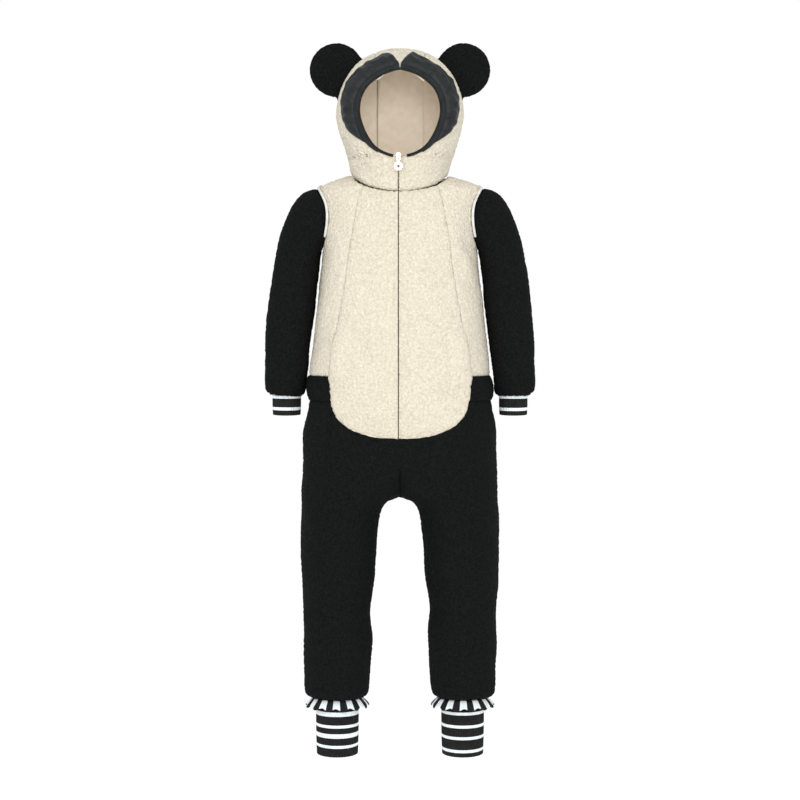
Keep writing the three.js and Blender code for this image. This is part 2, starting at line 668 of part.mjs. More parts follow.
function hoodSide(zipEdge, levels, proud, thick, back = 0) {
  const turns = neckColumns(zipEdge);
  const last = turns.length - 1;
  const shares = turns.map((a) => (a - turns[0]) / (turns[last] - turns[0]));
  const cell = (i, j) => {
    const z = levels[i];
    if (z === NECK_LEVEL) {
      const x = NECK_HALF * Math.sin(turns[j]) ** (2 / ROUNDNESS);
      const level = turns[j] < Math.PI / 2 ? neckline(x) : NECK_TOP;
      const p = bodyAt(angleAt(x, ringOf(BODY_RINGS, level).half), level);
      const q = turns[j] < Math.PI / 2 ? p : bodyAt(turns[j], level);
      const n = hoodNormal(hoodAt(turns[j], level));
      return { p: q.add(V(0, 0, SEAM_GAP)), n: V(n.x, n.y, 0).normalize() };
    }
    const start = frontLimit(z, zipEdge, back);
    const end = Math.PI - stripAngle(z);
    const p = hoodAt(mix(start, end, shares[j]), z);
    return { p, n: hoodNormal(p) };
  };

  return wallGeometry({ rows: levels.length - 1, columns: last, cell, thick, proud });
}

// The strip from the brow over the crown and down the back to the neck.
const STRIP_COLUMNS = 4;
function hoodCentre(levels, proud, thick) {
  const front = levels.filter((z) => z >= 155);
  const backward = [...levels].reverse();
  const rows = [...front.map((z) => ({ z, side: -1 })), ...backward.map((z) => ({ z, side: 1 }))];
  const cell = (i, j) => {
    const { side } = rows[i];
    const z = rows[i].z === NECK_LEVEL ? NECK_TOP + SEAM_GAP : rows[i].z;
    const x = mix(-CENTRE_STRIP, CENTRE_STRIP, j / STRIP_COLUMNS);
    const share = 1 - Math.abs(x / HOOD.half) ** ROUNDNESS;
    let p = V(0, 0, 0);
    if (z >= HOOD.cheek) {
      const rise = clamp((z - HOOD.cheek) / (STRIP_TOP - HOOD.cheek), 0, 1) ** HOOD.crownPower;
      const y = (share * (1 - rise)) ** (1 / ROUNDNESS);
      const level = HOOD.cheek + HOOD.rise * (share * rise) ** (1 / HOOD.crownPower);
      p = V(x, side < 0 ? -HOOD.front * y : HOOD.back * y, level);
    } else {
      p = hoodAt(Math.PI - angleAt(x, hoodRing(z).half), z);
      p.x = x;
    }
    if (i === 0) {
      const brow = Math.abs(x) < CENTRE_STRIP ? browLevel(Math.abs(x)) : rows[0].z;
      p = hoodAt(angleAt(x, hoodRing(brow).half), brow);
      p.x = x;
    }
    return { p, n: hoodNormal(p) };
  };
  return wallGeometry({ rows: rows.length - 1, columns: STRIP_COLUMNS, cell, thick, proud });
}
const BROW_EDGE = [
  { x: 0, z: FACE_HEAD },
  { x: 19.5, z: 174.5 },
  { x: CENTRE_STRIP, z: 160 },
];
const browLevel = (x) => along(BROW_EDGE, 'x', 'z', x);

// ---------------------------------------------------------------- face binding and eye patches
// Points of the panels' edge round the face, from below the chin to the middle of the brow.
const FACE_POINTS = [
  ...HOOD_LEVELS.filter((z) => z > FACE_FOOT && z < 155).map((z) => ({ x: panelEdgeX(z), z })),
  ...[...BROW_EDGE].reverse(),
];
const onHoodFront = ({ x, z }) => {
  const p = hoodAt(angleAt(x, hoodRing(z).half), z);
  return { p, n: hoodNormal(p) };
};

function faceBinding() {
  const start = { x: 10, z: mix(FACE_FOOT, 48, 0.35) };
  const points = [start, ...FACE_POINTS];
  const cell = (i, j) => onHoodFront(j === 1 ? fromFace(points[i], -0.1) : fromFace(points[i], -BINDING));
  const keep = (p) => V(Math.max(p.x, SEAM_GAP / 2), p.y, p.z);
  const rows = points.length - 1;
  return wallGeometry({ rows, columns: 1, cell, thick: 9, proud: 1.2, keep, inset: SEAM_GAP * 1.5 });
}

// A puffed crescent beside the face opening, from under the cheek to the notch over the brow.
function eyePatch() {
  const steps = 12;
  const columns = 3;
  const bearing = ({ x, z }) => Math.atan2(z - FACE_MIDDLE, x);
  const reach = ({ x, z }) => Math.hypot(x, z - FACE_MIDDLE);
  const polar = (table) => table.map((p) => ({ turn: bearing(p), radius: reach(p) }));
  const outer = polar(PATCH_EDGE);
  const inner = polar(PANEL_EDGE);
  const cell = (i, j) => {
    const turn = mix(outer[0].turn, outer[outer.length - 1].turn, i / steps);
    const near = along(inner, 'turn', 'radius', turn) + 0.8;
    const far = Math.max(along(outer, 'turn', 'radius', turn), near + 2);
    const radius = mix(near, far, j / columns);
    const point = { x: radius * Math.cos(turn), z: FACE_MIDDLE + radius * Math.sin(turn) };
    const swell = Math.sin((Math.PI * j) / columns) * clamp((far - near) / 18, 0, 1);
    const height = PATCH.rim + PATCH.puff * swell;
    return { ...onHoodFront(point), up: height, wall: height };
  };
  const keep = (p) => V(Math.max(p.x, SEAM_GAP), p.y, p.z);
  return wallGeometry({ rows: steps, columns, cell, thick: 1, proud: PATCH.lift, keep });
}

// ---------------------------------------------------------------- ears
// One face of a stuffed ear: a disc that the hood cuts off along its base.
function earHalf(side) {
  const along1 = 7;
  const up1 = 2;
  const silhouette = (x) => {
    const rise = 1 - (x / (HOOD.half + 1.5)) ** ROUNDNESS;
    return HOOD.cheek + (HOOD.rise + 1.5) * Math.max(rise, 0) ** (1 / HOOD.crownPower);
  };
  const turnTo = (x) => Math.atan2(silhouette(x) - EAR.z, x - EAR.x);
  const first = turnTo(EAR.chordStart);
  const last = turnTo(EAR.chordEnd - 1.5) ;
  const cell = (i, j) => {
    const s = j / along1;
    const turn = mix(first, last, s);
    const sweep = first > 0 ? first : first + 2 * Math.PI;
    const arc = mix(sweep, last, s);
    const base = V(mix(EAR.chordStart, EAR.chordEnd - 1.5, s), 0, 0);
    base.z = silhouette(base.x);
    const rim = V(EAR.x + EAR.radius * Math.cos(arc), 0, EAR.z + EAR.radius * Math.sin(arc));
    const flat = base.lerp(rim, i / up1);
    const away = Math.hypot(flat.x - EAR.x, flat.z - EAR.z) / EAR.radius;
    const height = EAR.rim + EAR.puff * Math.sqrt(Math.max(0, 1 - away ** 2));
    const p = V(flat.x, EAR.y + side * (height + SEAM_GAP / 2), flat.z);
    return { p, n: V(0, side, 0), wall: height, turn };
  };
  return wallGeometry({ rows: up1, columns: along1, cell, thick: 1, inset: 0.1 });
}

// ---------------------------------------------------------------- zip
const TAPE_LEVELS = [BELLY_BOTTOM + 3, -340, -288, -200, -120, -60, -28, -10, 6, 20, 32, ZIP_TOP - 6];
const onFrontMiddle = (x, z) => {
  if (z < NECK_FRONT) return onBody(Math.sign(x) * angleAt(x, ringOf(BODY_RINGS, z).half), z);
  const p = hoodAt(Math.sign(x) * angleAt(x, hoodRing(z).half), z);
  return { p, n: hoodNormal(p) };
};

function zipTape(side) {
  const near = ZIP_X + side * 0.3;
  const far = ZIP_X + side * TAPE.half;
  const cell = (i, j) => onFrontMiddle(mix(near, far, j), TAPE_LEVELS[i]);
  const rows = TAPE_LEVELS.length - 1;
  return wallGeometry({ rows, columns: 1, cell, thick: TAPE.thick, proud: -FLEECE - LINING - 5.2, inset: 0 });
}

const sliderFace = () => onFrontMiddle(ZIP_X, SLIDER.pivotZ - 3).p.y - SLIDER.lift;

async function solidOf(geometry) {
  const bare = geometry.clone();
  bare.deleteAttribute('normal');
  bare.deleteAttribute('uv');
  const merged = mergeVertices(bare, 1e-4);
  const mesh = new wasm.Mesh({
    numProp: 3,
    vertProperties: new Float32Array(merged.attributes.position.array),
    triVerts: new Uint32Array(merged.index.array),
  });
  return new wasm.Manifold(mesh);
}

function geometryOf(solid) {
  const mesh = solid.getMesh();
  const geometry = new THREE.BufferGeometry();
  geometry.setAttribute('position', new THREE.Float32BufferAttribute([...mesh.vertProperties], 3));
  geometry.setIndex([...mesh.triVerts]);
  return geometry;
}

// Rounded body with an arch on its face, under which the pull's bar turns.
async function zipSlider() {
  const { width, height, thick, pivotZ, arch } = SLIDER;
  const outline = new THREE.Shape();
  outline.absellipse(0, 0, width / 2, height / 2, 0, 2 * Math.PI);
  const plate = new THREE.ExtrudeGeometry(outline, { depth: thick, bevelEnabled: false, curveSegments: 5 });
  plate.rotateX(Math.PI / 2);
  const face = sliderFace();
  plate.translate(ZIP_X, face, pivotZ);
  const bow = new THREE.Shape();
  bow.moveTo(-3.4, 0.6);
  bow.lineTo(-3.4, -arch);
  bow.lineTo(3.4, -arch);
  bow.lineTo(3.4, 0.6);
  bow.lineTo(2.2, 0.6);
  bow.lineTo(2.2, -arch + 1.2);
  bow.lineTo(-2.2, -arch + 1.2);
  bow.lineTo(-2.2, 0.6);
  bow.closePath();
  const bridge = new THREE.ExtrudeGeometry(bow, { depth: 1.6, bevelEnabled: false });
  bridge.translate(0, 0, -0.8);
  const toZip = new THREE.Matrix4().makeBasis(V(0, 0, 1), V(0, 1, 0), V(-1, 0, 0));
  bridge.applyMatrix4(toZip);
  bridge.translate(ZIP_X, face - thick, pivotZ);
  const body = await solidOf(plate);
  const loop = await solidOf(bridge);
  return geometryOf(body.add(loop));
}

// Flat pull: a bar under the arch, a narrow stem and a ring at its end.
function zipPull() {
  const { thick, length, ring, hole, stem } = PULL;
  const end = -length + ring;
  const outline = new THREE.Shape();
  outline.moveTo(-2.9, 1.1);
  outline.lineTo(-2.9, -6.8);
  outline.lineTo(-stem, -8.2);
  outline.lineTo(-stem, end + 5.6);
  outline.absarc(0, end, ring, Math.PI * 0.6, Math.PI * 2.4, false);
  outline.lineTo(stem, -8.2);
  outline.lineTo(2.9, -6.8);
  outline.lineTo(2.9, 1.1);
  outline.closePath();
  const eye = new THREE.Path();
  eye.moveTo(-1.5, -0.8);
  eye.lineTo(1.5, -0.8);
  eye.lineTo(1.5, -5.8);
  eye.lineTo(-1.5, -5.8);
  eye.closePath();
  const grip = new THREE.Path();
  grip.absarc(0, end, hole, 0, 2 * Math.PI, true);
  outline.holes.push(eye, grip);
  const geometry = new THREE.ExtrudeGeometry(outline, { depth: thick, bevelEnabled: false, curveSegments: 7 });
  geometry.rotateX(Math.PI / 2);
  geometry.translate(ZIP_X, sliderFace() - SLIDER.thick - 1.2, SLIDER.pivotZ);
  return geometry;
}

// ---------------------------------------------------------------- colours and assembly
const finish = (color, roughness, metalness = 0) => ({ color, roughness, metalness });
const CREAM = finish('#e9e3d2', 0.95);
const BLACK = finish('#171817', 0.95);
const KNIT = finish('#1b1d1b', 0.9);
const NYLON = finish('#2e3333', 0.5);
const BEIGE = finish('#cbbca7', 0.9);
const PIPE = finish('#d8d8d2', 0.8);
const METAL = finish('#c9c2b0', 0.4, 0.6);

const suit = new THREE.Group();
function add(name, geometry, look) {
  const mesh = new THREE.Mesh(geometry, new THREE.MeshStandardMaterial(look));
  mesh.name = name;
  suit.add(mesh);
}
function addPair(stem, geometry, look) {
  add(`${stem}_left`, geometry, look);
  add(`${stem}_right`, mirrored(geometry), look);
}

const leftZip = ZIP_X + ZIP_HALF_GAP;
const rightZip = -ZIP_X + ZIP_HALF_GAP;
add('front_centre_left', frontCentre(leftZip), CREAM);
add('front_centre_right', mirrored(frontCentre(rightZip)), CREAM);
addPair('front_side', frontSide(), CREAM);
add('back_bodice', backBodice(), CREAM);
add('waist_band', waistBand(), BLACK);
addPair('trouser_front', trouserPiece('front'), BLACK);
addPair('trouser_back', trouserPiece('back'), BLACK);
addPair('sleeve', sleeve(), BLACK);
addPair('armhole_piping', armholePiping(), PIPE);
addPair('wrist_cuff', wristCuff(), KNIT);
addPair('ankle_cuff', ankleCuff(), KNIT);
addPair('hem_ruffle', hemFrill(), KNIT);
add('hood_side_left', hoodSide(leftZip, HOOD_LEVELS, 0, FLEECE), CREAM);
add('hood_side_right', mirrored(hoodSide(rightZip, HOOD_LEVELS, 0, FLEECE)), CREAM);
add('hood_centre', hoodCentre(HOOD_LEVELS, 0, FLEECE), CREAM);
const LINING_DEPTH = -FLEECE - 2;
const LINING_BACK = 5; // the lining stops this far behind the binding
add('hood_lining_left', hoodSide(leftZip, LINING_LEVELS, LINING_DEPTH, LINING, LINING_BACK), BEIGE);
add('hood_lining_right', mirrored(hoodSide(rightZip, LINING_LEVELS, LINING_DEPTH, LINING, LINING_BACK)), BEIGE);
add('hood_lining_centre', hoodCentre(LINING_LEVELS, LINING_DEPTH, LINING), BEIGE);
addPair('face_binding', faceBinding(), BLACK);
addPair('eye_patch', eyePatch(), NYLON);
addPair('ear_front', earHalf(-1), BLACK);
addPair('ear_back', earHalf(1), BLACK);
add('zip_tape_left', zipTape(1), BLACK);
add('zip_tape_right', zipTape(-1), BLACK);
add('zip_slider', await zipSlider(), METAL);
add('zip_pull', zipPull(), METAL);

export default suit;
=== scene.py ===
"""Looks of a child's hooded fleece suit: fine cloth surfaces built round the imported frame.

Tables and shape functions are in millimetres, in the frame's own axes; meshes are made in metres.
"""
import math

import bmesh
import bpy
import numpy as np
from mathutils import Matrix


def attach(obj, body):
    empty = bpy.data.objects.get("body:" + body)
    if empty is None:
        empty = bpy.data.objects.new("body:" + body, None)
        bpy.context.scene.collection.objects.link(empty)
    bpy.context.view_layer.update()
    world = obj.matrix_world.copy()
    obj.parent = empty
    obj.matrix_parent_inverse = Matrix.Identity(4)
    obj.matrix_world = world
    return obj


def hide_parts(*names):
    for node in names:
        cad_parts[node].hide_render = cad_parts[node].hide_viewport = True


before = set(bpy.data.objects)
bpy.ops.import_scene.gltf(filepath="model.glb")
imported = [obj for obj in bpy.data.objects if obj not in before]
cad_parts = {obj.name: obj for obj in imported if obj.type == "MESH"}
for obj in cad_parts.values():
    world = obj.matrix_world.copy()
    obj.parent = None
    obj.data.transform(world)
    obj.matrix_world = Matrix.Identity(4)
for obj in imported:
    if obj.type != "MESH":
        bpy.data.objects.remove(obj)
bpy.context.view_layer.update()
MM = 0.001
BODY = "garment"

# ---------------------------------------------------------------- sizes, as cut
ROUNDNESS = 2.3
FLEECE = 4.0
LINING = 1.6
RIB = 2.2
ZIP_X = -2.5
ZIP_HALF_GAP = 0.7
NECK_HALF, NECK_TOP, NECK_FRONT = 75, 20, -7
WAIST_SEAM, BAND_BOTTOM, BELLY_BOTTOM = -288, -326, -382
CROTCH, CROTCH_RISE, LEG_HEM = -476, 76, -787
ARM_TOP, ARM_BOTTOM, ARM_DEPTH = 0, -95, 37
POCKET_TOP, POCKET_LIFT = -214, 4.6
CENTRE_STRIP = 39


def table(columns, *rows):
    return {name: np.array([row[i] for row in rows], float) for i, name in enumerate(columns.split())}


BODY_RINGS = table(
    "z half front back",
    (20, 75, 50, 58), (0, 125, 66, 70), (-28, 122, 76, 77), (-60, 120, 84, 81), (-95, 119, 90, 84),
    (-200, 130, 101, 92), (-288, 139, 105, 96), (-332, 141, 104, 98), (-369, 148, 100, 101),
    (-406, 150, 94, 102), (-443, 151, 86, 98), (-476, 152, 78, 92),
)
LEG_RINGS = table(
    "z inner outer front back",
    (-406, 0, 150, 84, 94), (-476, 0, 152, 76, 86), (-483, 17, 152, 75, 84), (-499, 29, 153, 72, 81),
    (-539, 35, 154, 69, 75), (-600, 39, 153, 66, 69), (-651, 46, 150, 62, 64), (-693, 43, 150, 61, 61),
    (-740, 46, 149, 57, 58), (-776, 48, 148, 53, 54), (-784, 51, 145, 50, 51), (-787, 56, 139, 45, 45),
)
PRINCESS = table("z x", (3, 56), (-17, 64), (-46, 69), (-84, 76), (-156, 86), (-214, 97), (-250, 103), (-288, 107))
BELLY_EDGE = table(
    "x z", (108.2, -288), (108, -315), (102, -341), (90, -358), (74, -369), (52, -377), (28, -381), (0, -382)
)
NECK_SIDE = table("x z", (56, 3), (69, 12), (75, 20))
SLEEVE = table(
    "row innerX innerZ outerX outerZ depth",
    (0, 119.5, -95, 125, 0, 37), (1, 121, -99, 142, -3, 41), (2, 123, -107, 158, -15, 42),
    (3, 125, -124, 174, -41, 42), (4, 128, -148, 187, -82, 40), (5, 131, -184, 199, -142, 38),
    (6, 138, -236, 207, -216, 35), (7, 144, -288, 209, -280, 33), (8, 147, -313, 208, -308, 32),
    (9, 153, -320, 200, -318, 25),
)
HOOD_CHEEK, HOOD_RISE, HOOD_HALF, HOOD_FRONT, HOOD_BACK, CROWN_POWER = 110, 104, 97.5, 93, 116, 2.1
HOOD_RINGS = table(
    "z half front back",
    (110, 97.5, 93, 116), (82, 92, 92, 110), (58, 84, 89, 97), (40, 78, 84, 80), (20, 75, 76, 59), (-10, 75, 67, 59),
)
FACE_EDGE = table(
    "x z",
    (0, 46), (25, 52), (37, 60), (48, 75), (55, 90), (60, 108), (60, 122), (57, 135), (49, 149), (34, 162),
    (16, 171), (0, 175),
)
PATCH_EDGE = table(
    "x z",
    (33, 51), (48, 62), (60, 71), (72, 80), (82, 94), (87, 110), (88, 128), (85, 144), (77, 162), (61, 179),
    (38, 193), (19, 202), (1, 184),
)
BINDING = 4.0

# Soft folds of the cloth: a trough (negative) or ridge from one point to another, as it hangs.
CREASES = table(
    "x0 y0 z0 x1 y1 z1 width height",
    # from the armholes and the neck down over the chest
    (-108, -50, -50, -84, -75, -80, 7, -2.6), (-100, -55, -62, -88, -72, -108, 6, 1.8),
    (92, -62, -66, 118, -30, -124, 7, -2.4), (86, -66, -84, 112, -45, -150, 8, 1.8),
    (-74, -30, 16, -58, -55, -4, 5, -2.0), (72, -34, 14, 60, -55, -12, 5, -1.6),
    (-60, -84, -150, -30, -96, -172, 12, -1.6), (38, -92, -120, 66, -82, -150, 12, -1.5),
    (-20, -101, -236, -66, -94, -262, 13, 1.6), (24, -103, -270, 80, -88, -240, 13, -1.8),
    (-40, -102, -320, -92, -80, -300, 12, -2.0), (30, -102, -332, 78, -86, -318, 12, -1.6),
    # over the hips and down the thighs
    (-150, -20, -470, -112, -62, -560, 10, 3.2), (-146, -25, -500, -104, -62, -610, 9, -3.0),
    (-118, -70, -420, -60, -84, -455, 10, -2.6), (116, -70, -425, 62, -84, -462, 10, -2.4),
    (22, -84, -440, 70, -78, -500, 8, -3.0), (-20, -84, -446, -64, -78, -510, 8, -2.8),
    (12, -74, -462, 40, -66, -520, 6, 2.2), (-12, -74, -462, -44, -66, -528, 6, 2.4),
    (148, -24, -520, 110, -64, -578, 10, -2.4), (60, -58, -600, 120, -56, -634, 9, -2.2),
    (-58, -58, -618, -124, -54, -640, 8, -2.6), (-50, -40, -655, -118, -54, -662, 8, 3.0),
    (48, -36, -650, 104, -58, -668, 8, -3.4), (52, -36, -672, 122, -54, -690, 8, 2.8),
    (146, -20, -662, 108, -54, -650, 7, -2.8), (-146, -20, -684, -100, -56, -700, 8, -2.4),
    (60, -48, -722, 130, -44, -738, 8, -2.0), (-62, -48, -736, -132, -42, -726, 8, -2.2),
    (70, -50, -764, 122, -46, -758, 6, -1.8), (-66, -50, -766, -126, -44, -772, 6, -1.8),
    # like folds behind
    (-90, 74, -70, -52, 84, -120, 11, -2.2), (92, 72, -64, 58, 84, -110, 11, -2.0),
    (-30, 90, -190, 40, 92, -206, 13, -1.8), (50, 94, -258, 110, 72, -236, 11, -2.2),
    (-60, 94, -262, -116, 66, -246, 11, -2.0), (-20, 96, -380, -90, 92, -420, 12, -2.6),
    (20, 96, -400, 96, 88, -440, 12, -2.4), (16, 70, -466, 76, 82, -520, 9, -3.2),
    (-16, 70, -466, -72, 82, -530, 9, -3.0), (60, 64, -600, 126, 58, -628, 9, -2.6),
    (-56, 62, -612, -124, 58, -634, 9, -2.6), (52, 50, -664, 120, 56, -680, 8, -2.8),
    (-52, 50, -668, -126, 54, -676, 8, -2.6), (62, 46, -742, 124, 48, -752, 8, -2.0),
    (-60, 46, -750, -122, 48, -744, 8, -2.0),
    # on the sleeves, front and back, left and right
    (126, -38, -70, 170, -38, -96, 9, -2.8), (-126, -38, -62, -172, -38, -100, 9, -2.8),
    (128, -36, -116, 178, -36, -132, 8, 2.2), (-130, -36, -112, -176, -36, -140, 8, 2.2),
    (134, -34, -176, 190, -34, -160, 9, -3.0), (-136, -34, -170, -192, -34, -182, 9, -3.0),
    (200, -14, -200, 150, -34, -222, 8, -2.4), (-202, -14, -212, -150, -34, -206, 8, -2.6),
    (144, -32, -262, 200, -30, -274, 8, -2.6), (-146, -32, -270, -202, -30, -258, 8, -2.4),
    (150, -30, -300, 196, -30, -296, 6, -2.0), (-150, -30, -298, -198, -30, -302, 6, -2.0),
    (128, 38, -84, 176, 38, -110, 9, -2.6), (-128, 38, -80, -176, 38, -116, 9, -2.6),
    (136, 34, -180, 192, 34, -166, 9, -2.8), (-136, 34, -172, -192, 34, -190, 9, -2.8),
    (146, 32, -258, 204, 30, -270, 8, -2.4), (-146, 32, -266, -204, 30, -256, 8, -2.4),
    # round the neck and on the back of the hood
    (50, -72, 34, 56, -66, 8, 4, -2.4), (-70, -42, 44, -44, -68, 20, 7, -2.0),
    (-80, 20, 40, -40, 66, 30, 8, -2.2), (80, 18, 42, 44, 66, 28, 8, -2.2), (-30, 92, 60, 34, 94, 54, 9, -1.8),
)

# ---------------------------------------------------------------- shape functions, on whole arrays
def along(t, key, column, value):
    """Smooth interpolation of one column of a table at the given keys."""
    order = np.argsort(t[key])
    k, c = t[key][order], t[column][order]
    d = np.diff(c) / np.diff(k)
    m = np.concatenate([[d[0]], (c[2:] - c[:-2]) / (k[2:] - k[:-2]), [d[-1]]])
    v = np.clip(np.asarray(value, float), k[0], k[-1])
    i = np.clip(np.searchsorted(k, v) - 1, 0, len(k) - 2)

    def eased(slope):
        return np.where(slope * d[i] <= 0, 0, np.sign(slope) * np.minimum(abs(slope), 3 * abs(d[i])))

    span = k[i + 1] - k[i]
    s = (v - k[i]) / span
    m0, m1 = eased(m[i]) * span, eased(m[i + 1]) * span
    return (
        (2 * s**3 - 3 * s**2 + 1) * c[i] + (s**3 - 2 * s**2 + s) * m0
        + (3 * s**2 - 2 * s**3) * c[i + 1] + (s**3 - s**2) * m1
    )


def mix(a, b, s):
    return a + (b - a) * s


def grid(rows, columns):
    """Two arrays of shares, the first across the columns and the second down the rows."""
    return np.meshgrid(np.linspace(0, 1, columns), np.linspace(0, 1, rows))


def on_ring(half, front, back, angle, z):
    s, c = np.sin(angle), np.cos(angle)
    x = half * np.sign(s) * abs(s) ** (2 / ROUNDNESS)
    depth = abs(c) ** (2 / ROUNDNESS)
    return np.stack(np.broadcast_arrays(x, np.where(c > 0, -front * depth, back * depth), z), -1)


def angle_at(x, half):
    return np.arcsin(np.clip(abs(x) / half, 0, 1) ** (ROUNDNESS / 2))


def body_ring(z):
    return [along(BODY_RINGS, "z", name, z) for name in ("half", "front", "back")]


def body(angle, z):
    return on_ring(*body_ring(z), angle, z)


def hood_ring(z):
    rise = np.clip((z - HOOD_CHEEK) / HOOD_RISE, 0, 1)
    k = (1 - rise**CROWN_POWER) ** (1 / ROUNDNESS)
    full = zip(("half", "front", "back"), (HOOD_HALF, HOOD_FRONT, HOOD_BACK))
    return [np.where(z < HOOD_CHEEK, along(HOOD_RINGS, "z", name, z), size * k) for name, size in full]


def hood(angle, z):
    return on_ring(*hood_ring(z), angle, z)


def hood_front(x, z):
    p = hood(angle_at(x, np.maximum(hood_ring(z)[0], 1e-3)), z)
    p[..., 0] = x
    return p


def side_angle(z, face):
    middle, reach = (ARM_TOP + ARM_BOTTOM) / 2, (ARM_TOP - ARM_BOTTOM) / 2
    across = ARM_DEPTH * np.sqrt(np.clip(1 - ((z - middle) / reach) ** 2, 0, 1))
    depth = along(BODY_RINGS, "z", face, z)
    angle = np.arccos(np.clip(across / depth, 0, 1) ** (ROUNDNESS / 2))
    return angle if face == "front" else math.pi - angle


def neckline(x):
    low = NECK_FRONT + (3 - NECK_FRONT) * (x / 56) ** 2
    return np.where(x >= 56, along(NECK_SIDE, "x", "z", x), low)


def seam_x(z):
    return np.where(z > 3, along(NECK_SIDE, "z", "x", z), along(PRINCESS, "z", "x", z))


def outer_edge(z):
    return np.where(z >= CROTCH, along(BODY_RINGS, "z", "half", z), along(LEG_RINGS, "z", "outer", z))


def inner_edge(z):
    return np.where(z >= CROTCH, 0, along(LEG_RINGS, "z", "inner", z))


def trousers(angle, z, face):
    middle, reach = (inner_edge(z) + outer_edge(z)) / 2, (outer_edge(z) - inner_edge(z)) / 2
    x = middle - reach * np.cos(angle)
    share = np.clip(x / outer_edge(z), 0, 1)
    hip = along(BODY_RINGS, "z", face, z) * (1 - share**ROUNDNESS) ** (1 / ROUNDNESS)
    leg = along(LEG_RINGS, "z", face, z) * abs(np.sin(angle))
    fall = np.clip((CROTCH + CROTCH_RISE - z) / CROTCH_RISE, 0, 1)
    depth = mix(leg, hip, np.sqrt(np.clip(1 - fall**2, 0, 1)))
    return np.stack([x, -depth if face == "front" else depth, z], -1)


def belly_level(x):
    return np.minimum(BAND_BOTTOM, along(BELLY_EDGE, "x", "z", x))


def trouser_top(angle):
    x = trousers(angle, np.full_like(angle, BELLY_BOTTOM), "front")[..., 0]
    for _ in range(6):
        x = trousers(angle, belly_level(x), "front")[..., 0]
    return belly_level(x)


def sleeve_form(angle, row):
    share = (1 + np.cos(angle)) / 2
    get = lambda name: along(SLEEVE, "row", name, row)
    x = mix(get("innerX"), get("outerX"), share)
    z = mix(get("innerZ"), get("outerZ"), share)
    ring = np.stack([x, -get("depth") * np.sin(angle), z], -1)
    level = (ARM_TOP + ARM_BOTTOM) / 2 + (ARM_TOP - ARM_BOTTOM) / 2 * np.cos(angle)
    turn = np.where(np.sin(angle) >= 0, side_angle(level, "front"), side_angle(level, "back"))
    hole = body(turn, level)
    hole[..., 0] += 0.4
    near = np.clip(1 - row, 0, 1)[..., None]
    return mix(ring, hole, near)


# ---------------------------------------------------------------- meshes
def unit(v):
    return v / np.maximum(np.linalg.norm(v, axis=-1, keepdims=True), 1e-9)


def normals_of(p, loop):
    """Outward normals of a grid of points, on a tube or on an open panel of the suit."""
    if loop:
        across = np.roll(p, -1, 1) - np.roll(p, 1, 1)
    else:
        across = np.gradient(p, axis=1)
    n = unit(np.cross(np.gradient(p, axis=0), across))
    away = p - p.mean(1, keepdims=True) if loop else p * [0, 1, 0]
    return n if (n * away).sum() > 0 else -n


def wave_field(p, pitch, seed, count=36):
    """A smooth uneven field of about unit size whose bumps are roughly `pitch` apart."""
    rng = np.random.default_rng(seed)
    ways = unit(rng.normal(size=(count, 3)))
    rates = 2 * math.pi / (pitch * rng.uniform(0.75, 1.5, count))
    phases = rng.uniform(0, 2 * math.pi, count)
    flat = p.reshape(-1, 3)
    total = np.zeros(len(flat))
    for way, rate, phase in zip(ways, rates, phases):
        total += np.cos(flat @ way * rate + phase)
    return (total * math.sqrt(2 / count)).reshape(p.shape[:-1])


def fold_height(p):
    """Height of the listed folds at each point."""
    total = np.zeros(p.shape[:-1])
    for i in range(len(CREASES["width"])):
        a = np.array([CREASES[k][i] for k in ("x0", "y0", "z0")])
        b = np.array([CREASES[k][i] for k in ("x1", "y1", "z1")])
        run = b - a
        s = np.clip((p - a) @ run / (run @ run), 0, 1)
        away = np.linalg.norm((p - a - s[..., None] * run) * [1, 0.55, 1], axis=-1)
        taper = 0.25 + 0.75 * np.sin(math.pi * np.clip(s, 0.04, 0.96))
        total += CREASES["height"][i] * taper * np.exp(-((away / CREASES["width"][i]) ** 2))
    return total


def edge_distance(p, edges):
    """Distance along the cloth to the nearest of the named edges: top, foot, start, end."""
    far = np.full(p.shape[:-1], 1e3)
    down = np.zeros(p.shape[:-1])
    down[1:] = np.cumsum(np.linalg.norm(np.diff(p, axis=0), axis=-1), 0)
    across = np.zeros(p.shape[:-1])
    across[:, 1:] = np.cumsum(np.linalg.norm(np.diff(p, axis=1), axis=-1), 1)
    choices = {"top": down, "foot": down[-1:] - down, "start": across, "end": across[:, -1:] - across}
    for name in edges:
        far = np.minimum(far, choices[name])
    return far


def make_mesh(name, points, faces, look, smooth=True, face_looks=None, looks=()):
    mesh = bpy.data.meshes.new(name)
    mesh.from_pydata((points * MM).tolist(), [], faces)
    for material in looks or (look,):
        mesh.materials.append(material)
    mesh.polygons.foreach_set("use_smooth", [smooth] * len(mesh.polygons))
    if face_looks is not None:
        mesh.polygons.foreach_set("material_index", face_looks)
    mesh.update()
    thing = bpy.data.objects.new(name, mesh)
    bpy.context.scene.collection.objects.link(thing)
    return thing


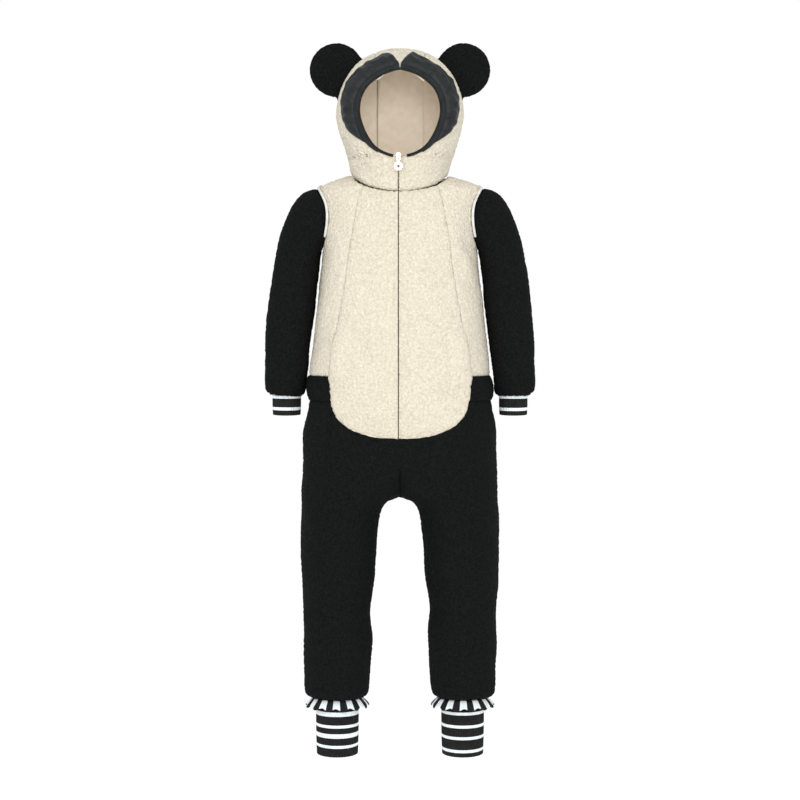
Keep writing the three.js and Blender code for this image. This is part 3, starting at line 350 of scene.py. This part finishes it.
def wall(p, n, thick, loop):
    """Closed wall of cloth from a grid of outer points and normals: points and faces."""
    rows, columns = p.shape[:2]
    inner = p - n * thick
    points = np.concatenate([p.reshape(-1, 3), inner.reshape(-1, 3)])
    index = np.arange(rows * columns).reshape(rows, columns)
    if loop:
        index = np.concatenate([index, index[:, :1]], 1)
    back = rows * columns
    a, b, c, d = index[:-1, :-1], index[:-1, 1:], index[1:, 1:], index[1:, :-1]
    outer_faces = np.stack([a, b, c, d], -1).reshape(-1, 4)
    inner_faces = np.stack([d, c, b, a], -1).reshape(-1, 4) + back
    rims = []

    def rim(line):
        rims.append(np.stack([line[1:], line[:-1], line[:-1] + back, line[1:] + back], -1))

    rim(index[0])
    rim(index[-1][::-1])
    if not loop:
        rim(index[::-1, 0])
        rim(index[:, -1])
    faces = np.concatenate([outer_faces, inner_faces, *rims])
    return points, faces


def weld(thing):
    """Joins points that coincide where a grid closes to a point, and drops empty faces."""
    b = bmesh.new()
    b.from_mesh(thing.data)
    bmesh.ops.remove_doubles(b, verts=b.verts, dist=1e-5)
    bmesh.ops.dissolve_degenerate(b, edges=b.edges, dist=1e-6)
    bmesh.ops.recalc_face_normals(b, faces=b.faces)
    b.to_mesh(thing.data)
    b.free()


def cloth(name, p, look, node, slot, thick=FLEECE, loop=False, pile=0.0, seed=1, sewn=(), drop=1.6,
          folds=True, raised=None, pitch=5.0):
    """One cut piece: folds, sunk seams and pile on a grid of points, as a closed wall."""
    n = normals_of(p, loop)
    height = np.zeros(p.shape[:-1])
    if folds:
        height += fold_height(p)
        height += 0.5 * wave_field(p, 60, 5)
    if pile:
        nubs = wave_field(p, pitch, seed) + 0.5 * wave_field(p, pitch * 0.6, seed + 7)
        height += pile * np.tanh(1.3 * nubs)
    if raised is not None:
        height += raised
    if sewn:
        height -= drop * np.exp(-((edge_distance(p, sewn) / 3.2) ** 2))
    points, faces = wall(p + n * height[..., None], n, thick, loop)
    thing = make_mesh(name, points, faces.tolist(), look)
    weld(thing)
    place(thing, slot, node)


def place(thing, slot, *nodes):
    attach(thing, BODY)
    if nodes:
        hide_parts(*nodes)
    return thing


def mirror(p):
    """The other side of the suit, with its columns reversed so that the outside stays outside."""
    q = p * [-1, 1, 1]
    return q[:, ::-1]


# ---------------------------------------------------------------- materials
def material(name, roughness, build, sheen=0.0, specular=0.2):
    m = bpy.data.materials.new(name)
    m.use_nodes = True
    tree = m.node_tree
    shader = tree.nodes["Principled BSDF"]
    shader.inputs["Roughness"].default_value = roughness
    shader.inputs["Specular IOR Level"].default_value = specular
    if sheen:
        shader.inputs["Sheen Weight"].default_value = sheen
        shader.inputs["Sheen Roughness"].default_value = 0.5
    build(tree, shader)
    return m


def node(tree, kind, **values):
    made = tree.nodes.new(kind)
    for key, value in values.items():
        if key in made.inputs:
            made.inputs[key].default_value = value
        else:
            setattr(made, key, value)
    return made


def mottled(tree, shader, dark, light, scale, kind="ShaderNodeTexNoise"):
    """Base colour that wanders between two tones at a scale given per metre."""
    where = node(tree, "ShaderNodeTexCoord").outputs["Object"]
    pattern = node(tree, kind, Scale=scale)
    ramp = node(tree, "ShaderNodeValToRGB")
    ramp.color_ramp.elements[0].position, ramp.color_ramp.elements[1].position = 0.3, 0.7
    ramp.color_ramp.elements[0].color, ramp.color_ramp.elements[1].color = (*dark, 1), (*light, 1)
    tree.links.new(where, pattern.inputs["Vector"])
    tree.links.new(pattern.outputs[0], ramp.inputs["Fac"])
    tree.links.new(ramp.outputs["Color"], shader.inputs["Base Color"])
    return where


def bump(tree, shader, where, layers):
    """Stacked bumps: rows of texture kind, scale per metre, height in metres, strength."""
    last = None
    for kind, scale, height, strength in layers:
        pattern = node(tree, kind, Scale=scale)
        tree.links.new(where, pattern.inputs["Vector"])
        step = node(tree, "ShaderNodeBump", Strength=strength, Distance=height)
        tree.links.new(pattern.outputs[0], step.inputs["Height"])
        if last:
            tree.links.new(last.outputs["Normal"], step.inputs["Normal"])
        last = step
    tree.links.new(last.outputs["Normal"], shader.inputs["Normal"])


NOISE, CELLS = "ShaderNodeTexNoise", "ShaderNodeTexVoronoi"


def pile_look(dark, light):
    def build(tree, shader):
        where = mottled(tree, shader, dark, light, 300)
        bump(tree, shader, where, [(CELLS, 330, 0.0016, 0.8), (NOISE, 900, 0.0006, 0.7)])
    return build


def woven_look(dark, light, scale, height=0.0003, strength=0.4):
    def build(tree, shader):
        where = mottled(tree, shader, dark, light, scale / 12)
        bump(tree, shader, where, [(NOISE, scale, height, strength)])
    return build


CREAM = material("cream_pile", 0.95, pile_look((0.53, 0.476, 0.377), (0.67, 0.624, 0.518)), sheen=0.1)
BLACK = material("black_pile", 0.95, pile_look((0.003, 0.0036, 0.0033), (0.0075, 0.0085, 0.008)), specular=0.08)
KNIT_BLACK = material("rib_black", 0.9, woven_look((0.006, 0.0065, 0.006), (0.012, 0.013, 0.012), 1400))
KNIT_WHITE = material("rib_white", 0.9, woven_look((0.62, 0.68, 0.70), (0.78, 0.83, 0.85), 1400))
NYLON = material("nylon", 0.5, woven_look((0.007, 0.009, 0.0095), (0.013, 0.016, 0.017), 900, 0.0002, 0.3))
BEIGE = material("lining", 0.9, woven_look((0.85, 0.76, 0.63), (0.92, 0.84, 0.73), 1100))
EDGE = material("binding", 0.85, woven_look((0.007, 0.0075, 0.007), (0.014, 0.015, 0.014), 1500))
PIPE = material("piping", 0.85, woven_look((0.52, 0.52, 0.49), (0.68, 0.68, 0.65), 1500))
TAPE = material("zip_tape", 0.85, woven_look((0.008, 0.008, 0.008), (0.016, 0.016, 0.016), 1500))
METAL = material("zip_metal", 0.35, woven_look((0.50, 0.47, 0.38), (0.62, 0.58, 0.50), 500, 0.0001, 0.1))
METAL.node_tree.nodes["Principled BSDF"].inputs["Metallic"].default_value = 0.6

# ---------------------------------------------------------------- bodice
LEFT_ZIP, RIGHT_ZIP = ZIP_X + ZIP_HALF_GAP, -ZIP_X + ZIP_HALF_GAP


def zip_ridge(p, side):
    """The fold over the zip: a raised band on the wearer's left, a faint line on the right."""
    x = abs(p[..., 0])
    if side == "left":
        return 1.7 * np.exp(-(((x - 9) / 4.5) ** 2)) - 1.2 * np.exp(-((x / 2.2) ** 2))
    return 0.5 * np.exp(-(((x - 5) / 2.5) ** 2)) - 1.0 * np.exp(-(((x - 9) / 1.8) ** 2))


def front_centre(side):
    zip_edge = LEFT_ZIP if side == "left" else RIGHT_ZIP
    u, v = grid(176, 52)
    # level along the princess seam and the belly's edge, from the neck down to the foot of the zip
    turn = np.linspace(0, 1, 176)
    upper = mix(3, -315, np.clip(turn / 0.82, 0, 1))
    sweep = np.clip((turn - 0.82) / 0.18, 0, 1)
    edge_z = np.where(sweep > 0, mix(-315, BELLY_BOTTOM, np.sin(sweep * math.pi / 2)), upper)
    edge_x = np.where(edge_z > -288, along(PRINCESS, "z", "x", edge_z), along(BELLY_EDGE, "z", "x", edge_z))
    edge_x = np.maximum(edge_x, zip_edge + 0.5)
    zip_z = mix(NECK_FRONT, BELLY_BOTTOM, turn)
    x = mix(zip_edge, edge_x[:, None], u)
    z = mix(zip_z[:, None], edge_z[:, None], u**2)
    angle = np.sign(x) * angle_at(x, body_ring(z)[0])
    p = body(angle, z)
    if side == "right":
        p = mirror(p)
    flap = np.clip((POCKET_TOP - 2 - z) / 14, 0, 1) * np.clip((z + 304) / 12, 0, 1)
    lift = POCKET_LIFT * flap * np.clip((u - 0.72) / 0.16, 0, 1)
    if side == "right":
        lift = lift[:, ::-1]
    sewn = ["top", "foot", "end" if side == "left" else "start"]
    raised = lift + zip_ridge(p, side)
    cloth(f"front_centre_{side}_cloth", p, CREAM, f"front_centre_{side}", "cream_fleece", pile=0.75, seed=11,
          sewn=sewn, raised=raised)


def front_side():
    u, v = grid(150, 40)
    z = mix(19.4, WAIST_SEAM, v)
    under = 12 * np.clip((POCKET_TOP - 14 - z) / 10, 0, 1)
    x = seam_x(z) - under
    p = body(mix(angle_at(x, body_ring(z)[0]), side_angle(z, "front"), u), z)
    for side, q in (("left", p), ("right", mirror(p))):
        cloth(f"front_side_{side}_cloth", q, CREAM, f"front_side_{side}", "cream_fleece", pile=0.75,
              seed=11, sewn=["top", "foot", "start", "end"], drop=1.3)


def back_bodice():
    u, v = grid(132, 136)
    z = mix(19.4, WAIST_SEAM, v)
    start = side_angle(z, "back")
    cloth("back_bodice_cloth", body(mix(start, 2 * math.pi - start, u), z), CREAM, "back_bodice",
          "cream_fleece", pile=0.75, seed=11, sewn=["top", "foot", "start", "end"])


def waist_band():
    u, v = grid(20, 260)
    z = mix(WAIST_SEAM - 0.3, BAND_BOTTOM, v)
    start = angle_at(along(BELLY_EDGE, "z", "x", z), body_ring(z)[0])
    p = body(mix(start, 2 * math.pi - start, u), z)
    ends = np.clip(np.minimum(u, 1 - u) / 0.03, 0.15, 1)
    gathers = 0.5 * wave_field(p * [1, 1, 0.25], 16, 21)
    raised = 4.6 * np.sin(math.pi * np.clip(v, 0.02, 1)) ** 0.7 * ends + gathers
    cloth("waist_band_cloth", p, BLACK, "waist_band", "black_fleece", pile=0.6, seed=12,
          sewn=["start", "end"], raised=raised)


def trouser_pieces():
    u, v = grid(164, 78)
    angle = math.pi * u
    for face in ("front", "back"):
        top = trouser_top(angle[0]) if face == "front" else np.full(78, float(BAND_BOTTOM))
        p = trousers(angle, mix(top, LEG_HEM, v), face)
        p[:, 0, 0] = np.where(p[:, 0, 2] >= CROTCH - 4, -2.6, p[:, 0, 0])
        if face == "back":
            p = p[:, ::-1]
        for side, q in (("left", p), ("right", mirror(p))):
            cloth(f"trouser_{face}_{side}_cloth", q, BLACK, f"trouser_{face}_{side}", "black_fleece",
                  pile=0.6, seed=12, sewn=["top", "start", "end"], drop=1.2)


def sleeves():
    u, v = grid(140, 100)
    angle = 2 * math.pi * u[:, :-1]
    turn = np.where(angle > math.pi, angle - 2 * math.pi, angle)
    p = sleeve_form(turn, 9 * v[:, :-1])[:, ::-1]
    for side, q in (("left", p), ("right", mirror(p))):
        cloth(f"sleeve_{side}_cloth", q, BLACK, f"sleeve_{side}", "black_fleece", loop=True, pile=0.6,
              seed=12, sewn=["top"], drop=1.4)


# ---------------------------------------------------------------- trims
def rod(line, radius, sides=10):
    """Closed round rod along a line of points."""
    run = unit(np.gradient(line, axis=0))
    lead = unit(np.cross(run, [0.31, 0.92, 0.23]))
    side = np.cross(run, lead)
    turn = np.linspace(0, 2 * math.pi, sides, endpoint=False)[:, None]
    ring = line[:, None] + radius * (np.cos(turn) * lead[:, None] + np.sin(turn) * side[:, None])
    points = ring.reshape(-1, 3)
    index = np.arange(len(points)).reshape(len(line), sides)
    near, far = index[:-1], index[1:]
    faces = np.stack([near, np.roll(near, -1, 1), np.roll(far, -1, 1), far], -1).reshape(-1, 4).tolist()
    return points, faces + [index[0][::-1].tolist(), index[-1].tolist()]


def armhole_piping():
    a = np.linspace(-2.15, 2.15, 90)
    reach = 3.4
    middle, half = (ARM_TOP + ARM_BOTTOM) / 2, (ARM_TOP - ARM_BOTTOM) / 2
    z = middle + (half + reach) * np.cos(a)
    across = (ARM_DEPTH + reach) * abs(np.sin(a))
    line = np.zeros((90, 3))
    for face, here in (("front", a >= 0), ("back", a < 0)):
        turn = np.arccos(np.clip(across / along(BODY_RINGS, "z", face, z), 0, 1) ** (ROUNDNESS / 2))
        turn = turn if face == "front" else math.pi - turn
        out = unit(body(turn, z) * [1, 1, 0] + [0, 0, 12])
        line[here] = (body(turn, z) + out * 1.9)[here]
    for side, flip in (("left", 1), ("right", -1)):
        points, faces = rod(line * [flip, 1, 1], 2.1)
        thing = make_mesh(f"armhole_piping_{side}_cord", points, faces, PIPE)
        weld(thing)
        place(thing, "pale_piping", f"armhole_piping_{side}")


def rib_tube(name, cad, x, top, foot, half, depth, stripes, ribs, smile):
    """Knitted cuff with upright ribs and level white stripes of 4.5 mm."""
    rows, columns = 40, ribs * 5
    u, v = grid(rows, columns + 1)
    angle = (2 * math.pi * u)[:, :-1]
    z = mix(top, foot, v[:, :-1])
    draw = 1 + 0.02 * np.sin(math.pi * v[:, :-1]) - 0.03 * v[:, :-1]
    ribbing = 0.55 * np.cos(angle * ribs)
    wide = half * draw + ribbing
    bow = smile * np.cos(angle + math.pi / 2) * v[:, :-1]
    p = np.stack([x + wide * np.cos(angle), (depth * draw + ribbing) * np.sin(angle), z + bow], -1)
    n = unit(np.stack([np.cos(angle) / half, np.sin(angle) / depth, 0 * angle], -1))
    points, faces = wall(p, n, RIB, True)
    middle = np.concatenate([z.ravel(), z.ravel()])[faces].mean(1)
    white = np.zeros(len(faces), int)
    for level in stripes:
        white |= (abs(middle - level) < 2.3).astype(int)
    thing = make_mesh(name, points, faces.tolist(), None, face_looks=white, looks=(KNIT_BLACK, KNIT_WHITE))
    weld(thing)
    place(thing, "striped_rib", cad)


def cuffs():
    rib_tube("wrist_cuff_left_rib", "wrist_cuff_left", 175.5, -319, -349, 21.5, 21, (-321.5, -340), 30, -1)
    rib_tube("wrist_cuff_right_rib", "wrist_cuff_right", -175.5, -319, -349, 21.5, 21, (-321.5, -339), 30, -1)
    left, right = (-810, -829, -848, -867), (-811, -829, -844, -861)
    rib_tube("ankle_cuff_left_rib", "ankle_cuff_left", 97.5, -790, -876, 32.5, 33, left, 44, -2)
    rib_tube("ankle_cuff_right_rib", "ankle_cuff_right", -97.5, -790, -876, 32.5, 33, right, 44, -2)


def hem_frills():
    waves, columns = 13, 312
    u, v = grid(8, columns + 1)
    angle = (2 * math.pi * u)[:, :-1]
    down = v[:, :-1]
    wave = np.sin(waves * angle + 0.8 * np.sin(3 * angle)) * down
    radius = mix(37, 48.5, down**0.8) + 1.6 * wave
    z = -788 - 12 * down + 2.2 * np.cos(waves * angle + 1.1) * down - 2 * np.sin(-angle) * down
    p = np.stack([97.5 + radius * np.cos(angle), 0.98 * radius * np.sin(angle), z], -1)
    points, faces = wall(p, normals_of(p, True), 1.4, True)
    block = ((np.arange(columns) * 26 // columns) % 2).astype(int)
    stripe = np.concatenate([np.tile(block, 7), np.tile(block, 7), block, block[::-1]])
    for side, flip in (("left", 1), ("right", -1)):
        looks = (KNIT_BLACK, KNIT_WHITE)
        thing = make_mesh(f"hem_ruffle_{side}_frill", points * [flip, 1, 1], faces.tolist(), None,
                          face_looks=stripe, looks=looks)
        weld(thing)
        place(thing, "striped_jersey", f"hem_ruffle_{side}")


# ---------------------------------------------------------------- hood
def from_face(t, extra):
    away = np.hypot(t["x"], t["z"] - HOOD_CHEEK)
    scale = (away + extra) / away
    return {"x": t["x"] * scale, "z": HOOD_CHEEK + (t["z"] - HOOD_CHEEK) * scale}


PANEL_EDGE = from_face(FACE_EDGE, BINDING)
FACE_FOOT, FACE_HEAD = PANEL_EDGE["z"][0], PANEL_EDGE["z"][-1]
STRIP_SHARE = 1 - (CENTRE_STRIP / HOOD_HALF) ** ROUNDNESS
STRIP_TOP = HOOD_CHEEK + HOOD_RISE * STRIP_SHARE ** (1 / CROWN_POWER)


def face_limit(z, zip_edge, back):
    """Front limit of the hood's side at each level: the zip, the face edge, then the centre strip."""
    edge = along(PANEL_EDGE, "z", "x", z) + back
    edge = np.maximum(edge, np.where(z > HOOD_CHEEK, CENTRE_STRIP, zip_edge))
    return np.where(z <= FACE_FOOT, zip_edge, np.where(z >= FACE_HEAD, CENTRE_STRIP, edge))


def hood_side_grid(zip_edge, rows, columns, back=0.0):
    u, v = grid(rows, columns)
    first = np.sign(zip_edge) * angle_at(zip_edge, NECK_HALF)
    last = math.pi - angle_at(CENTRE_STRIP, NECK_HALF)
    turn = mix(first, last, u)
    low = np.where(turn < math.pi / 2, neckline(NECK_HALF * abs(np.sin(turn)) ** (2 / ROUNDNESS)), NECK_TOP) + 0.1
    # rows evenly spaced along the front edge, so that they turn with the face opening
    level = np.linspace(NECK_FRONT, STRIP_TOP - 0.3, 3000)
    run = np.cumsum(np.hypot(np.gradient(face_limit(level, zip_edge, back)), np.gradient(level)))
    share = np.interp(np.linspace(run[-1], run[0], rows), run, np.linspace(0, 1, 3000))
    z = mix(low, STRIP_TOP - 0.3, share[:, None])
    half = hood_ring(z)[0]
    edge = face_limit(z, zip_edge, back)
    strip = angle_at(CENTRE_STRIP, half)
    return hood(mix(np.sign(edge) * angle_at(edge, half), math.pi - strip, u), z)


def hood_strip_grid(rows, columns):
    u, v = grid(rows, columns)
    x = mix(CENTRE_STRIP, -CENTRE_STRIP, u)
    share = 1 - abs(x / HOOD_HALF) ** ROUNDNESS
    brow = along({"x": np.array([0, 19.5, 39]), "z": np.array([FACE_HEAD, 174.5, 160])}, "x", "z", abs(x))
    rise = ((brow - HOOD_CHEEK) / HOOD_RISE) / share ** (1 / CROWN_POWER)
    start = np.arcsin(np.clip(rise, 0, 1) ** (CROWN_POWER / 2))
    over = np.clip(v / 0.7, 0, 1)
    turn = mix(start, math.pi, over)
    y = share ** (1 / ROUNDNESS) * abs(np.cos(turn)) ** (2 / ROUNDNESS)
    y = np.where(np.cos(turn) > 0, -HOOD_FRONT * y, HOOD_BACK * y)
    z = HOOD_CHEEK + HOOD_RISE * (share ** (1 / CROWN_POWER)) * abs(np.sin(turn)) ** (2 / CROWN_POWER)
    crown = np.stack([x, y, z], -1)
    level = mix(HOOD_CHEEK, NECK_TOP + 0.4, np.clip((v - 0.7) / 0.3, 0, 1))
    nape = hood(math.pi - angle_at(x, hood_ring(level)[0]), level)
    nape[..., 0] = x
    return np.where((v > 0.7)[..., None], nape, crown)[:, ::-1][::-1]


def inwards(p, depth):
    return p - normals_of(p, False) * depth


def hood_pieces():
    for side, zip_edge in (("left", LEFT_ZIP), ("right", RIGHT_ZIP)):
        p = hood_side_grid(zip_edge, 110, 110)
        q = inwards(hood_side_grid(zip_edge, 64, 60, back=1.0), FLEECE + 1.2)
        if side == "right":
            p, q = mirror(p), mirror(q)
        cloth(f"hood_side_{side}_cloth", p, CREAM, f"hood_side_{side}", "cream_fleece", pile=0.75, seed=11,
              sewn=["foot", "start" if side == "right" else "end"], raised=0.6 * zip_fade(p, side))
        cloth(f"hood_lining_{side}_cloth", q, BEIGE, f"hood_lining_{side}", "beige_lining", thick=LINING,
              folds=False, raised=0.5 * wave_field(q, 45, 31))
    p = hood_strip_grid(190, 36)[::-1][:, ::-1]
    cloth("hood_centre_cloth", p, CREAM, "hood_centre", "cream_fleece", pile=0.75, seed=11,
          sewn=["start", "end"])
    q = inwards(p[::2, ::2], FLEECE + 1.4)
    cloth("hood_lining_centre_cloth", q, BEIGE, "hood_lining_centre", "beige_lining", thick=LINING, folds=False,
          raised=0.4 * wave_field(q, 45, 31))


def zip_fade(p, side):
    return zip_ridge(p, side) * (p[..., 1] < 0) * np.clip((60 - p[..., 2]) / 15, 0, 1)


def face_binding():
    a = np.linspace(math.radians(-81), math.radians(89.8), 120)
    edge = from_face(FACE_EDGE, 0)
    turn = {"a": np.arctan2(edge["z"] - HOOD_CHEEK, edge["x"]), "r": np.hypot(edge["x"], edge["z"] - HOOD_CHEEK)}
    radius = along(turn, "a", "r", a) + 2.0
    line = hood_front(radius * np.cos(a), HOOD_CHEEK + radius * np.sin(a))
    line[:, 1] -= 0.6
    for side, flip in (("left", 1), ("right", -1)):
        points, faces = rod(line * [flip, 1, 1], 2.3, 12)
        thing = make_mesh(f"face_binding_{side}_edge", points, faces, EDGE)
        weld(thing)
        place(thing, "black_binding", f"face_binding_{side}")


def eye_patches():
    steps, columns = 190, 46
    u, v = grid(steps, columns)
    polar = lambda t: {"a": np.arctan2(t["z"] - HOOD_CHEEK, t["x"]), "r": np.hypot(t["x"], t["z"] - HOOD_CHEEK)}
    outer, inner = polar(PATCH_EDGE), polar(PANEL_EDGE)
    a = mix(outer["a"].min(), outer["a"].max(), v[::-1])
    near = along(inner, "a", "r", a) - 2.2
    far = np.maximum(along(outer, "a", "r", a), near + 1.5)
    radius = mix(near, far, u)
    base = hood_front(radius * np.cos(a), HOOD_CHEEK + radius * np.sin(a))
    wide = far - near
    casing = np.clip((radius - near) / 7.0, 0, 1)
    swell = np.sin(math.pi * np.clip((radius - near - 6) / np.maximum(wide - 6, 1), 0, 1)) ** 0.6
    fullness = np.clip((wide - 8) / 14, 0, 1)
    for side, flip in (("left", 1), ("right", -1)):
        shift = 0.0 if side == "left" else 1.7
        pucker = np.sin(a * 24 + 1.3 * np.sin(a * 5 + shift) + shift) + 0.6 * np.sin(a * 41 + 2 * shift + u * 2)
        crumple = wave_field(base * [flip, 1, 1], 13, 41)
        height = 2.4 + 5.0 * swell * fullness + (0.75 * pucker + 0.55 * crumple) * (0.25 + swell) * fullness
        height -= 1.4 * np.exp(-(((radius - near - 7) / 1.3) ** 2))
        height += 0.5 * np.sin(math.pi * casing)
        p = base.copy()
        p[..., 0] = np.maximum(p[..., 0], 0.3)
        if flip < 0:
            p = mirror(p)
            height = height[:, ::-1]
        n = normals_of(p, False)
        points, faces = wall(p + n * height[..., None], n, 1.3, False)
        thing = make_mesh(f"eye_patch_{side}_nylon", points, faces.tolist(), NYLON)
        weld(thing)
        place(thing, "black_nylon", f"eye_patch_{side}")


# ---------------------------------------------------------------- ears
EAR_X, EAR_Y, EAR_Z, EAR_RADIUS, EAR_PUFF = 98.0, 4.0, 183.0, 41.3, 6.5


def ears():
    u, v = grid(40, 64)
    base_x = mix(56, 96.5, u)
    rise = np.clip(1 - (base_x / (HOOD_HALF + 1)) ** ROUNDNESS, 0, 1)
    base_z = HOOD_CHEEK + (HOOD_RISE + 1) * rise ** (1 / CROWN_POWER)
    first = np.arctan2(base_z[0, 0] - EAR_Z, base_x[0, 0] - EAR_X) % (2 * math.pi)
    last = np.arctan2(base_z[0, -1] - EAR_Z, base_x[0, -1] - EAR_X)
    arc = mix(first, last, u)
    x = mix(base_x, EAR_X + EAR_RADIUS * np.cos(arc), v)
    z = mix(base_z, EAR_Z + EAR_RADIUS * np.sin(arc), v)
    away = np.hypot(x - EAR_X, z - EAR_Z) / EAR_RADIUS
    height = 0.8 + EAR_PUFF * np.clip(1 - away**2.6, 0, 1) ** 0.5
    for side, flip in (("left", 1), ("right", -1)):
        for face, way in (("front", -1), ("back", 1)):
            p = np.stack([x * flip, EAR_Y + way * height, z], -1)
            if flip * way > 0:
                p = p[:, ::-1]
            n = normals_of(p, False)
            flat = np.tile([0.0, way, 0.0], (*p.shape[:2], 1))
            n = unit(mix(n if (n[..., 1] * way).mean() > 0 else -n, flat, 0.5))
            nubs = 0.55 * np.tanh(1.3 * (wave_field(p, 5, 12) + 0.5 * wave_field(p, 3, 19)))
            thick = (abs(p[..., 1] - EAR_Y) - 0.1)[..., None]
            points, faces = wall(p + n * nubs[..., None], flat, thick, False)
            thing = make_mesh(f"ear_{face}_{side}_cloth", points, faces.tolist(), BLACK)
            weld(thing)
            place(thing, "black_fleece", f"ear_{face}_{side}")


# ---------------------------------------------------------------- zip
def zip_teeth():
    """Small coil teeth down the middle of the front, sunk between the two edges of the cloth."""
    levels = np.arange(BELLY_BOTTOM + 3, 40, 1.7)
    points, faces = [], []
    corners = np.array([(x, y, z) for x in (-1, 1) for y in (-1, 1) for z in (-1, 1)], float)
    block = [(0, 1, 3, 2), (4, 6, 7, 5), (0, 4, 5, 1), (2, 3, 7, 6), (0, 2, 6, 4), (1, 5, 7, 3)]
    for i, z in enumerate(levels):
        z_here = np.array(float(z))
        hooded = z > NECK_FRONT
        middle = hood_front(np.array(ZIP_X), z_here) if hooded else body(-angle_at(ZIP_X, body_ring(z_here)[0]), z_here)
        centre = middle + [0.4 if i % 2 else -0.4, 2.6, 0]
        faces += [[len(points) + k for k in f] for f in block]
        points += list(centre + corners * [0.9, 0.6, 0.45])
    thing = make_mesh("zip_teeth", np.array(points), faces, TAPE, smooth=False)
    place(thing, "zip_tape")


def dress_cad_nodes():
    for name, look in (("zip_slider", METAL), ("zip_pull", METAL), ("zip_tape_left", TAPE), ("zip_tape_right", TAPE)):
        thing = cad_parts[name]
        thing.data.materials.clear()
        thing.data.materials.append(look)


# ---------------------------------------------------------------- studio
def studio():
    scene = bpy.context.scene
    lens = bpy.data.cameras.new("camera")
    lens.lens, lens.sensor_width = 104, 36
    camera = bpy.data.objects.new("camera", lens)
    scene.collection.objects.link(camera)
    aim, distance, tilt = np.array([0.0, 0.0, -0.3265]), 3.582, math.radians(2)
    camera.location = aim + distance * np.array([0, -math.cos(tilt), math.sin(tilt)])
    camera.rotation_euler = (math.pi / 2 - tilt, 0, 0)
    scene.camera = camera
    world = bpy.data.worlds.new("studio")
    world.use_nodes = True
    world.node_tree.nodes["Background"].inputs["Color"].default_value = (1, 1, 1, 1)
    world.node_tree.nodes["Background"].inputs["Strength"].default_value = 1.0
    scene.world = world
    scene.view_settings.view_transform = "Standard"
    for name, place_m, size, power in (
        ("key", (-1.6, -2.6, 1.6), 1.4, 20), ("fill", (2.0, -2.2, 0.6), 1.8, 9), ("front", (0.1, -3.2, 0.35), 0.9, 37)
    ):
        light = bpy.data.lights.new(name, "AREA")
        light.energy, light.size = power, size
        lamp = bpy.data.objects.new(name, light)
        lamp.location = place_m
        way = np.array(aim) - np.array(place_m)
        lamp.rotation_euler = (math.atan2(np.hypot(way[0], way[1]), -way[2]), 0, math.atan2(way[0], -way[1]) + math.pi)
        scene.collection.objects.link(lamp)
    floor_mesh = bpy.data.meshes.new("floor")
    reach, level = 9.0, -1.35
    floor_mesh.from_pydata([(-reach, -reach, level), (reach, -reach, level), (reach, reach, level),
                            (-reach, reach, level)], [], [(0, 1, 2, 3)])
    white = bpy.data.materials.new("floor_white")
    white.use_nodes = True
    floor_shader = white.node_tree.nodes["Principled BSDF"]
    floor_shader.inputs["Base Color"].default_value = (0.95, 0.95, 0.95, 1)
    floor_shader.inputs["Emission Color"].default_value = (1, 1, 1, 1)
    floor_shader.inputs["Emission Strength"].default_value = 0.08
    floor_mesh.materials.append(white)
    floor = bpy.data.objects.new("floor", floor_mesh)
    scene.collection.objects.link(floor)


front_centre("left")
front_centre("right")
front_side()
back_bodice()
waist_band()
trouser_pieces()
sleeves()
armhole_piping()
cuffs()
hem_frills()
hood_pieces()
face_binding()
eye_patches()
ears()
zip_teeth()
dress_cad_nodes()
studio()

bpy.context.view_layer.update()
